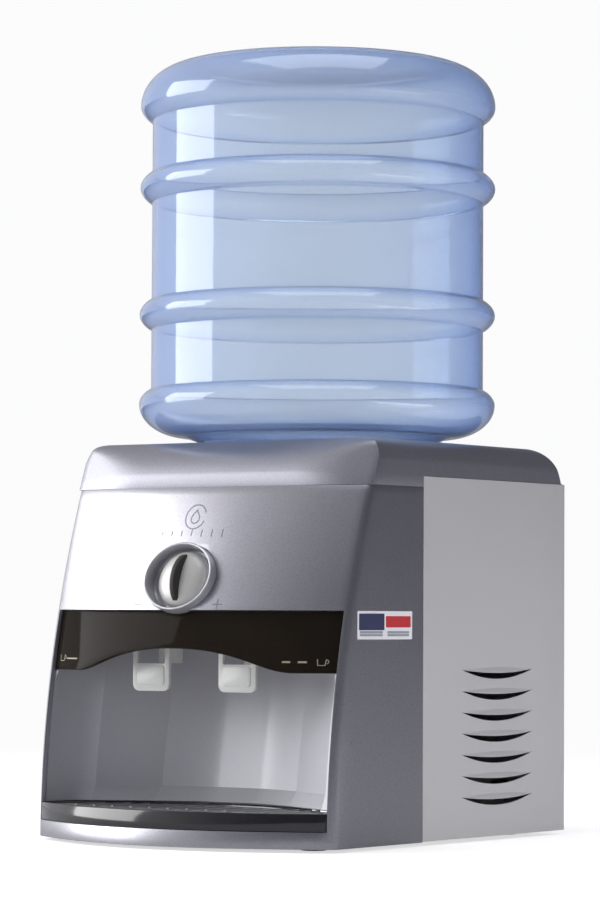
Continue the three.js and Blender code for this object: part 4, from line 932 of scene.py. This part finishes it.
def side_sheet(name, sign):
    edge = [(CHEEK_BACK + 0.0003, panel_low.z), (panel_high.y, panel_low.z), (panel_high.y, panel_high.z),
            (CHEEK_BACK + 0.0003, panel_high.z)]
    work = bmesh.new()
    outline = [work.verts.new((sign * HALF, y, z)) for y, z in edge]
    edges = [work.edges.new((outline[i], outline[i - 1])) for i in range(4)]
    for i in range(LOUVRES):
        foot = BASE + LOUVRE_LOW + i * LOUVRE_PITCH
        lower = slot_line(-0.007)
        upper = slot_line(0.003)
        ring = [work.verts.new((sign * HALF, y, foot + z)) for y, z in lower + upper[-2:0:-1]]
        edges += [work.edges.new((ring[j], ring[j - 1])) for j in range(len(ring))]
    bmesh.ops.triangle_fill(work, edges=edges, use_beauty=True)
    bmesh.ops.recalc_face_normals(work, faces=work.faces)
    for face in work.faces:
        if face.normal.x * sign < 0:
            face.normal_flip()
    mesh = bpy.data.meshes.new(name)
    work.to_mesh(mesh)
    work.free()
    sheet = walled(add_object(name, mesh, silver_sheet), SHEET)
    return kept_flat(settle(softened(sheet, 0.0003, limit=50)))


def hood_mesh(name, sign):
    """The pressed hood over one slot, drawn with its foot at height zero."""
    rows = []
    for up, out in ((0.0042, -0.0004), (0.0030, 0.0004), (0.0016, 0.0012), (0.0002, 0.0018),
                    (-0.0006, 0.0019)):
        row = []
        for y, z in slot_line(0.003):
            swell = 1 - ((y - louvre_y) / LOUVRE_HALF) ** 2
            row.append((sign * (HALF + out * swell - 0.0002 * (1 - swell)), y, z + up * swell))
        rows.append(row)
    mesh = loops_mesh(name, rows)
    work = bmesh.new()
    work.from_mesh(mesh)
    bmesh.ops.remove_doubles(work, verts=work.verts, dist=0.00002)
    for face in work.faces:
        face.normal_update()
        if face.normal.x * sign < 0:
            face.normal_flip()
    work.to_mesh(mesh)
    work.free()
    return walled_mesh(name, mesh, 0.0007)


def walled_mesh(name, mesh, thickness):
    thing = settle(walled(add_object(name, mesh, silver_sheet), thickness))
    solid = thing.data
    bpy.data.objects.remove(thing)
    return solid


def flange_plan(sign):
    inset, depth = 0.014, 0.0013
    back = panel_high.y - 0.0065 - SHEET - 0.0003
    return [(sign * (HALF - SHEET / 2), back - depth), (sign * (HALF - inset), back - depth),
            (sign * (HALF - inset), back), (sign * (HALF - SHEET / 2), back)]


for side, sign in (("right", 1), ("left", -1)):
    fit(side_sheet(f"side_sheet_{side}", sign), "chassis", "silver_sheet", f"side_panel_{side}")
    hoods = row_of(f"louvre_hoods_{side}", hood_mesh("hood", sign), (0, 0, BASE + LOUVRE_LOW),
                   (0, 0, LOUVRE_PITCH),
                   LOUVRES, silver_sheet)
    fit(hoods, "chassis", "silver_sheet")
    flange = slab(f"side_flange_{side}", flange_plan(sign), BASE + 0.010, panel_high.z - 0.0145, silver_sheet)
    fit(flange, "chassis", "silver_sheet")

# ---- rating label ----------------------------------------------------------------------------
# A small printed film on the right cheek: two plain colour blocks over thin rules, no lettering.
LABEL_LOW = Vector((HALF, -0.1038, 0.1492))
LABEL_HIGH = Vector((HALF, -0.0344, 0.1693))


def film(name, y_low, y_high, z_low, z_high, lift, colour, speck):
    paint, tree = material(name)
    place = tree.add("ShaderNodeTexCoord", output="Object")
    fibre = tree.add("ShaderNodeTexNoise", None, {"Vector": place, "Scale": 900.0, "Detail": 2.0})
    finished(tree, tree.blend(fibre, colour, speck), fibre * 0.1 + 0.35, fibre, 0.00001, {"Coat Weight": 0.2})
    corner = 0.0008
    plan = []
    for cy, cz, start in ((y_high - corner, z_high - corner, 0), (y_low + corner, z_high - corner, 90),
                          (y_low + corner, z_low + corner, 180), (y_high - corner, z_low + corner, 270)):
        for step in range(5):
            turn = math.radians(start + step * 22.5)
            plan.append((cy + corner * math.cos(turn), cz + corner * math.sin(turn)))
    loops = [[(HALF + x, y, z) for y, z in plan] for x in (-0.0001, lift)]
    mesh = loops_mesh(name, loops, closed=True, caps=True)
    tidy_mesh(mesh, 0.000001)
    return fit(settle(add_object(name, mesh, paint)), "chassis", "white_plastic")


label_middle = (LABEL_LOW.y + LABEL_HIGH.y) / 2
film("label_ground", LABEL_LOW.y, LABEL_HIGH.y, LABEL_LOW.z, LABEL_HIGH.z, 0.00015, (0.80, 0.80, 0.84, 1),
     (0.86, 0.86, 0.9, 1))
film("label_navy", LABEL_LOW.y + 0.002, label_middle - 0.001, LABEL_LOW.z + 0.0065, LABEL_HIGH.z - 0.0018,
     0.0003,
     (0.030, 0.035, 0.095, 1), (0.045, 0.05, 0.12, 1))
film("label_red", label_middle + 0.001, LABEL_HIGH.y - 0.002, LABEL_LOW.z + 0.0085, LABEL_HIGH.z - 0.0035,
     0.0003,
     (0.50, 0.028, 0.035, 1), (0.58, 0.045, 0.05, 1))
for i, drop in enumerate((0.0022, 0.0042)):
    film(f"label_rule_{2 * i + 1}", LABEL_LOW.y + 0.003, label_middle - 0.003, LABEL_LOW.z + drop,
         LABEL_LOW.z + drop + 0.0017,
         0.0003, (0.30, 0.31, 0.36, 1), (0.36, 0.37, 0.42, 1))
    film(f"label_rule_{2 * i + 2}", label_middle + 0.003, LABEL_HIGH.y - 0.004, LABEL_LOW.z + drop,
         LABEL_LOW.z + drop + 0.0017,
         0.0003, (0.30, 0.31, 0.36, 1), (0.36, 0.37, 0.42, 1))

# ---- bottle ----------------------------------------------------------------------------------
# A blow-moulded blue polycarbonate bottle, upside down, with three hoops, a rolled top edge and a
# dished base. The wall is 2 mm, and the tint looks deeper where the wall turns away.
bottle_low, bottle_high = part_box("bottle")
BODY_RADIUS = 0.126
HOOP = 0.009
HOOP_HALF = 0.0115
NECK_RADIUS = 0.0275
NECK_LENGTH = 0.033
BOTTLE_WALL = 0.002
hoop_radius = BODY_RADIUS + HOOP
hoop_heights = [bottle_low.z + z for z in (0.0855, 0.1535, 0.2501)]
top_hoop = bottle_high.z - 0.032
cone_foot = bottle_low.z + NECK_LENGTH
cone_top = cone_foot + 0.0265


def swell(distance):
    return HOOP * max(0.0, 1 - (distance / HOOP_HALF) ** 2) ** 0.85


def bottle_profile():
    profile = [(NECK_RADIUS, bottle_low.z + z) for z in (0.0, 0.0015)]
    profile += [(NECK_RADIUS + 0.0012, bottle_low.z + 0.004), (NECK_RADIUS + 0.0012, bottle_low.z + 0.007),
                (NECK_RADIUS, bottle_low.z + 0.009), (NECK_RADIUS,
                                                      cone_foot - 0.004), (NECK_RADIUS + 0.0015, cone_foot)]
    profile += [(NECK_RADIUS + 0.004 + (0.100 - NECK_RADIUS - 0.004) * s,
                 cone_foot + 0.001 + (cone_top - cone_foot) * s)
                for s in spread(0, 1, 8)]
    shoulder_drop = hoop_heights[0] - cone_top - 0.001
    profile += [(0.100 + (hoop_radius - 0.100) * math.cos(a), hoop_heights[0] + shoulder_drop * math.sin(a))
                for a in spread(-math.pi / 2, 0, 16)[1:]]
    profile += [(BODY_RADIUS + swell(z - hoop_heights[0]), z)
                for z in spread(hoop_heights[0], hoop_heights[0] + HOOP_HALF, 10)[1:]]
    for height in hoop_heights[1:]:
        profile += [(BODY_RADIUS, height - 0.019)]
        profile += [(BODY_RADIUS + swell(z - height), z) for z in spread(height - HOOP_HALF,
                height + HOOP_HALF, 19)]
        profile += [(BODY_RADIUS, height + 0.019)]
    profile += [(BODY_RADIUS, top_hoop - 0.019)]
    profile += [(BODY_RADIUS + swell(z - top_hoop), z) for z in spread(top_hoop - HOOP_HALF, top_hoop, 10)]
    profile += [(0.096 + (hoop_radius - 0.096) * math.cos(a),
                 top_hoop + (bottle_high.z - top_hoop) * math.sin(a))
                for a in spread(0, math.pi / 2, 18)[1:]]
    profile += [(0.084, bottle_high.z - 0.0010), (0.070, bottle_high.z - 0.0038),
                (0.045, bottle_high.z - 0.0052),
                (0.020, bottle_high.z - 0.0058), (0.0, bottle_high.z - 0.006)]
    return profile


def upright(name, profile, count=128):
    """A profile of radius and height turned about the bottle's upright axis."""
    loops = [[(r * math.cos(a), AXIS_Y + r * math.sin(a),
               z) for a in [2 * math.pi * i / count for i in range(count)]]
             for r, z in profile]
    mesh = loops_mesh(name, loops, closed=True)
    tidy_mesh(mesh)
    return mesh


blue_bottle, tree = material("blue_bottle")
place = tree.add("ShaderNodeTexCoord", output="Object")
ripple = tree.add("ShaderNodeTexNoise", None,
                  {"Vector": place, "Scale": 7.0, "Detail": 2.0, "Distortion": 0.4})
rub = tree.add("ShaderNodeTexNoise", None, {"Vector": place, "Scale": 90.0, "Detail": 5.0})
turning = tree.add("ShaderNodeLayerWeight", None, {"Blend": 0.42}, output="Facing")
blue = tree.blend(turning ** 1.4, (0.82, 0.895, 0.99, 1), (0.09, 0.28, 0.76, 1))
finished(tree, blue, rub * 0.04 + 0.02, ripple, 0.0012,
         {"Transmission Weight": 0.80, "IOR": 1.20, "Coat Weight": 0.7, "Coat Roughness": 0.06})
bottle = walled(add_object("bottle_shell", upright("bottle_shell", bottle_profile()), blue_bottle),
                BOTTLE_WALL)
fit(settle(bottle, 40), "bottle_body", "blue_bottle", "bottle")

# ---- bottle seat -----------------------------------------------------------------------------
# A white funnel under the cover's opening that carries the bottle's shoulder and guides its neck.
seat_white = moulded("seat_white", (0.62, 0.64, 0.67, 1), (0.70, 0.72, 0.75, 1), 0.40, grain=500)
fit(refined("seat_funnel", "bottle_seat", seat_white, 0.0005, edge=30), "chassis", "food_plastic",
    "bottle_seat")

# ---- back panel ------------------------------------------------------------------------------
# A zinc-plated steel sheet with slots over the fan. Four pan-head screws hold it to the folded
# edges of the sides, and the lead and the drain come out through round holes.
zinc_sheet, tree = material("zinc_sheet")
place = tree.add("ShaderNodeTexCoord", output="Object")
spangle = tree.add("ShaderNodeTexVoronoi", None, {"Vector": place, "Scale": 95.0}, output="Color")
spangle_tone = tree.add("ShaderNodeRGBToBW", None, {0: spangle})
haze = tree.add("ShaderNodeTexNoise", None, {"Vector": place, "Scale": 22.0, "Detail": 4.0})
zinc_tone = tree.blend(spangle_tone * 0.7 + haze * 0.2, (0.40, 0.42, 0.44, 1), (0.56, 0.58, 0.60, 1))
finished(tree, zinc_tone, spangle_tone * 0.14 + 0.34, haze, 0.00003, {"Metallic": 0.88})

screw_zinc, tree = material("screw_zinc")
place = tree.add("ShaderNodeTexCoord", output="Object")
lathe = tree.add("ShaderNodeTexNoise", None, {"Vector": place, "Scale": 2200.0, "Detail": 1.0})
finished(tree, tree.blend(lathe, (0.52, 0.53, 0.54, 1), (0.66, 0.67, 0.68, 1)), lathe * 0.12 + 0.24, lathe,
         0.00001, {"Metallic": 1.0})

back_sheet = kept_flat(refined("back_sheet", "back_panel", zinc_sheet, 0.0002, edge=40))
fit(back_sheet, "chassis", "zinc_sheet", "back_panel")


def screw_mesh(name):
    """A pan-head screw along Y, its head's seat at the origin and a cross cut in its crown."""
    profile = [(0.0, -0.0090), (0.0012, -0.0085), (0.0016, -0.0075), (0.0016, 0.0), (0.0036, 0.0),
               (0.0037, 0.0006),
               (0.0034, 0.0014), (0.0026, 0.0019), (0.0014, 0.0021), (0.0, 0.0021)]
    loops = [[(r * math.cos(a), y, r * math.sin(a)) for a in [2 * math.pi * i / 32 for i in range(32)]]
             for r, y in profile]
    mesh = loops_mesh(name, loops, closed=True)
    tidy_mesh(mesh, 0.000005)
    screw = add_object(name, mesh, screw_zinc)
    for wide, tall in ((0.0021, 0.0004), (0.0004, 0.0021)):
        plan = [(-wide, -tall), (wide, -tall), (wide, tall), (-wide, tall)]
        cross_loops = [[(x, y, z) for x, z in plan] for y in (0.0010, 0.004)]
        cross = loops_mesh("cross", cross_loops, closed=True, caps=True)
        tidy_mesh(cross, 0.000005)
        drilled(screw, bpy.data.objects.new("cross", cross))
    settle(screw, 30)
    mesh = screw.data
    bpy.data.objects.remove(screw)
    return mesh


for side, sign, first in (("left", -1, 1), ("right", 1, 3)):
    low_screw, high_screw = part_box(f"back_screw_{first}"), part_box(f"back_screw_{first + 1}")
    heads = [(box[0] + box[1]) / 2 for box in (low_screw, high_screw)]
    seat_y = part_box("back_panel")[1].y + 0.0002
    start = (heads[0].x, seat_y, heads[0].z)
    screws = row_of(f"back_screws_{side}", screw_mesh("screw"), start, (0, 0, heads[1].z - heads[0].z), 2,
                    screw_zinc)
    fit(screws, "chassis", "screw_zinc", f"back_screw_{first}", f"back_screw_{first + 1}")

# ---- fan -------------------------------------------------------------------------------------
# A black 80 mm axial fan fixed behind the slots; the rotor turns on a steel pin in the frame's hub.
fan_black = moulded("fan_black", (0.020, 0.021, 0.023, 1), (0.034, 0.035, 0.038, 1), 0.48, grain=500)
fit(refined("fan_housing", "fan_frame", fan_black, 0.0005), "chassis", "dark_plastic", "fan_frame")
fit(refined("fan_blades", "fan_rotor", fan_black, 0.0003), "fan", "dark_plastic", "fan_rotor")

# ---- rubber pieces ---------------------------------------------------------------------------
# The gland that grips the lead, the plug in the drain and the four feet, all moulded in black rubber.
black_rubber, tree = material("black_rubber")
place = tree.add("ShaderNodeTexCoord", output="Object")
pore = tree.add("ShaderNodeTexNoise", None, {"Vector": place, "Scale": 1300.0, "Detail": 3.0})
scuff = tree.add("ShaderNodeTexNoise", None, {"Vector": place, "Scale": 60.0, "Detail": 4.0})
finished(tree, tree.blend(scuff, (0.014, 0.014, 0.015, 1), (0.034, 0.034, 0.035, 1)), scuff * 0.15 + 0.68,
         pore, 0.00006, {})
fit(refined("lead_gland", "cable_gland", black_rubber, 0.0006), "chassis", "black_rubber", "cable_gland")
fit(refined("drain_bung", "drain_plug", black_rubber, 0.0006), "plug", "black_rubber", "drain_plug")
for number in range(1, 5):
    fit(refined(f"rubber_foot_{number}", f"foot_{number}", black_rubber, 0.0005), "chassis", "black_rubber",
        f"foot_{number}")

# ---- inside the case -------------------------------------------------------------------------
# Steel tank in a foam jacket, cold plate, thermoelectric module and finned heat sink, silicone
# hoses, thermostat and power board. The plain pieces keep their shape and take a finish.
steel, tree = material("brushed_steel")
place = tree.add("ShaderNodeTexCoord", output="Object")
grain = tree.add("ShaderNodeMapping", None, {"Vector": place, "Scale": (30.0, 30.0, 900.0)})
brush = tree.add("ShaderNodeTexNoise", None, {"Vector": grain, "Scale": 1.0, "Detail": 3.0})
finished(tree, tree.blend(brush, (0.52, 0.52, 0.53, 1), (0.68, 0.68, 0.69, 1)), brush * 0.16 + 0.20, brush,
         0.00001, {"Metallic": 1.0})
aluminium, tree = material("aluminium")
place = tree.add("ShaderNodeTexCoord", output="Object")
mill = tree.add("ShaderNodeTexNoise", None, {"Vector": place, "Scale": 420.0, "Detail": 3.0})
finished(tree, tree.blend(mill, (0.58, 0.59, 0.60, 1), (0.72, 0.73, 0.74, 1)), mill * 0.14 + 0.30, mill,
         0.00002, {"Metallic": 1.0})
silicone, tree = material("silicone")
place = tree.add("ShaderNodeTexCoord", output="Object")
cloudy = tree.add("ShaderNodeTexNoise", None, {"Vector": place, "Scale": 120.0, "Detail": 2.0})
finished(tree, tree.blend(cloudy, (0.66, 0.65, 0.61, 1), (0.76, 0.75, 0.71, 1)), cloudy * 0.1 + 0.42,
         cloudy, 0.00002,
         {"Subsurface Weight": 0.2, "Subsurface Scale": 0.004})
foam, tree = material("foam")
place = tree.add("ShaderNodeTexCoord", output="Object")
beads = tree.add("ShaderNodeTexVoronoi", None, {"Vector": place, "Scale": 330.0})
finished(tree, tree.blend(beads, (0.84, 0.84, 0.82, 1), (0.70, 0.70, 0.69, 1)), 0.92, 1 - beads, 0.0006, {})
ceramic = moulded("ceramic", (0.74, 0.73, 0.69, 1), (0.80, 0.79, 0.76, 1), 0.50, grain=1500)
coil_dark = moulded("coil_dark", (0.055, 0.040, 0.038, 1), (0.085, 0.065, 0.06, 1), 0.52, grain=700)
board_green, tree = material("board_green")
place = tree.add("ShaderNodeTexCoord", output="Object")
tracks = tree.add("ShaderNodeTexBrick", None, {"Vector": place, "Scale": 120.0, "Mortar Size": 0.06,
                                              "Color1": (0.016, 0.12, 0.045, 1), "Color2": (0.020, 0.14,
                                                      0.055, 1),
                                              "Mortar": (0.05, 0.26, 0.11, 1)})
lacquer = tree.add("ShaderNodeTexNoise", None, {"Vector": place, "Scale": 300.0})
finished(tree, tracks, lacquer * 0.1 + 0.32, lacquer, 0.00002, {"Coat Weight": 0.3})


def dress(paint, *names):
    """Gives plain nodes a finish in place."""
    for name in names:
        mesh = nodes[name].data
        mesh.materials.clear()
        mesh.materials.append(paint)


fit(refined("steel_tank", "water_tank", steel, 0.0004), "chassis", "steel", "water_tank")
fit(refined("foam_jacket", "tank_insulation", foam, 0.0010), "chassis", "foam", "tank_insulation")
fit(refined("finned_sink", "heat_sink", aluminium, 0.0002), "chassis", "aluminium", "heat_sink")
fit(refined("cold_block", "cold_plate", aluminium, 0.0004), "chassis", "aluminium", "cold_plate")
fit(refined("bottom_pan", "base_pan", zinc_sheet, 0.0004), "chassis", "zinc_sheet", "base_pan")
fit(refined("drain_nozzle", "drain_spout", food_plastic, 0.0003), "chassis", "food_plastic", "drain_spout")
for side in ("left", "right"):
    fit(refined(f"hose_{side}", f"tap_hose_{side}", silicone, 0.0003, edge=50), "chassis", "silicone",
        f"tap_hose_{side}")
fit(refined("hose_drain", "drain_hose", silicone, 0.0003, edge=50), "chassis", "silicone", "drain_hose")
dress(silicone, "tank_gasket", "tap_seal_left", "tap_seal_right")
dress(food_plastic, "tank_baffle")
dress(steel, "tap_spring_left", "tap_spring_right")
dress(ceramic, "cooling_module")
dress(zinc_sheet, "thermostat_shaft")
dress(coil_dark, "thermostat_switch", "transformer")
dress(board_green, "power_board")
dress(fan_black, "capacitor")
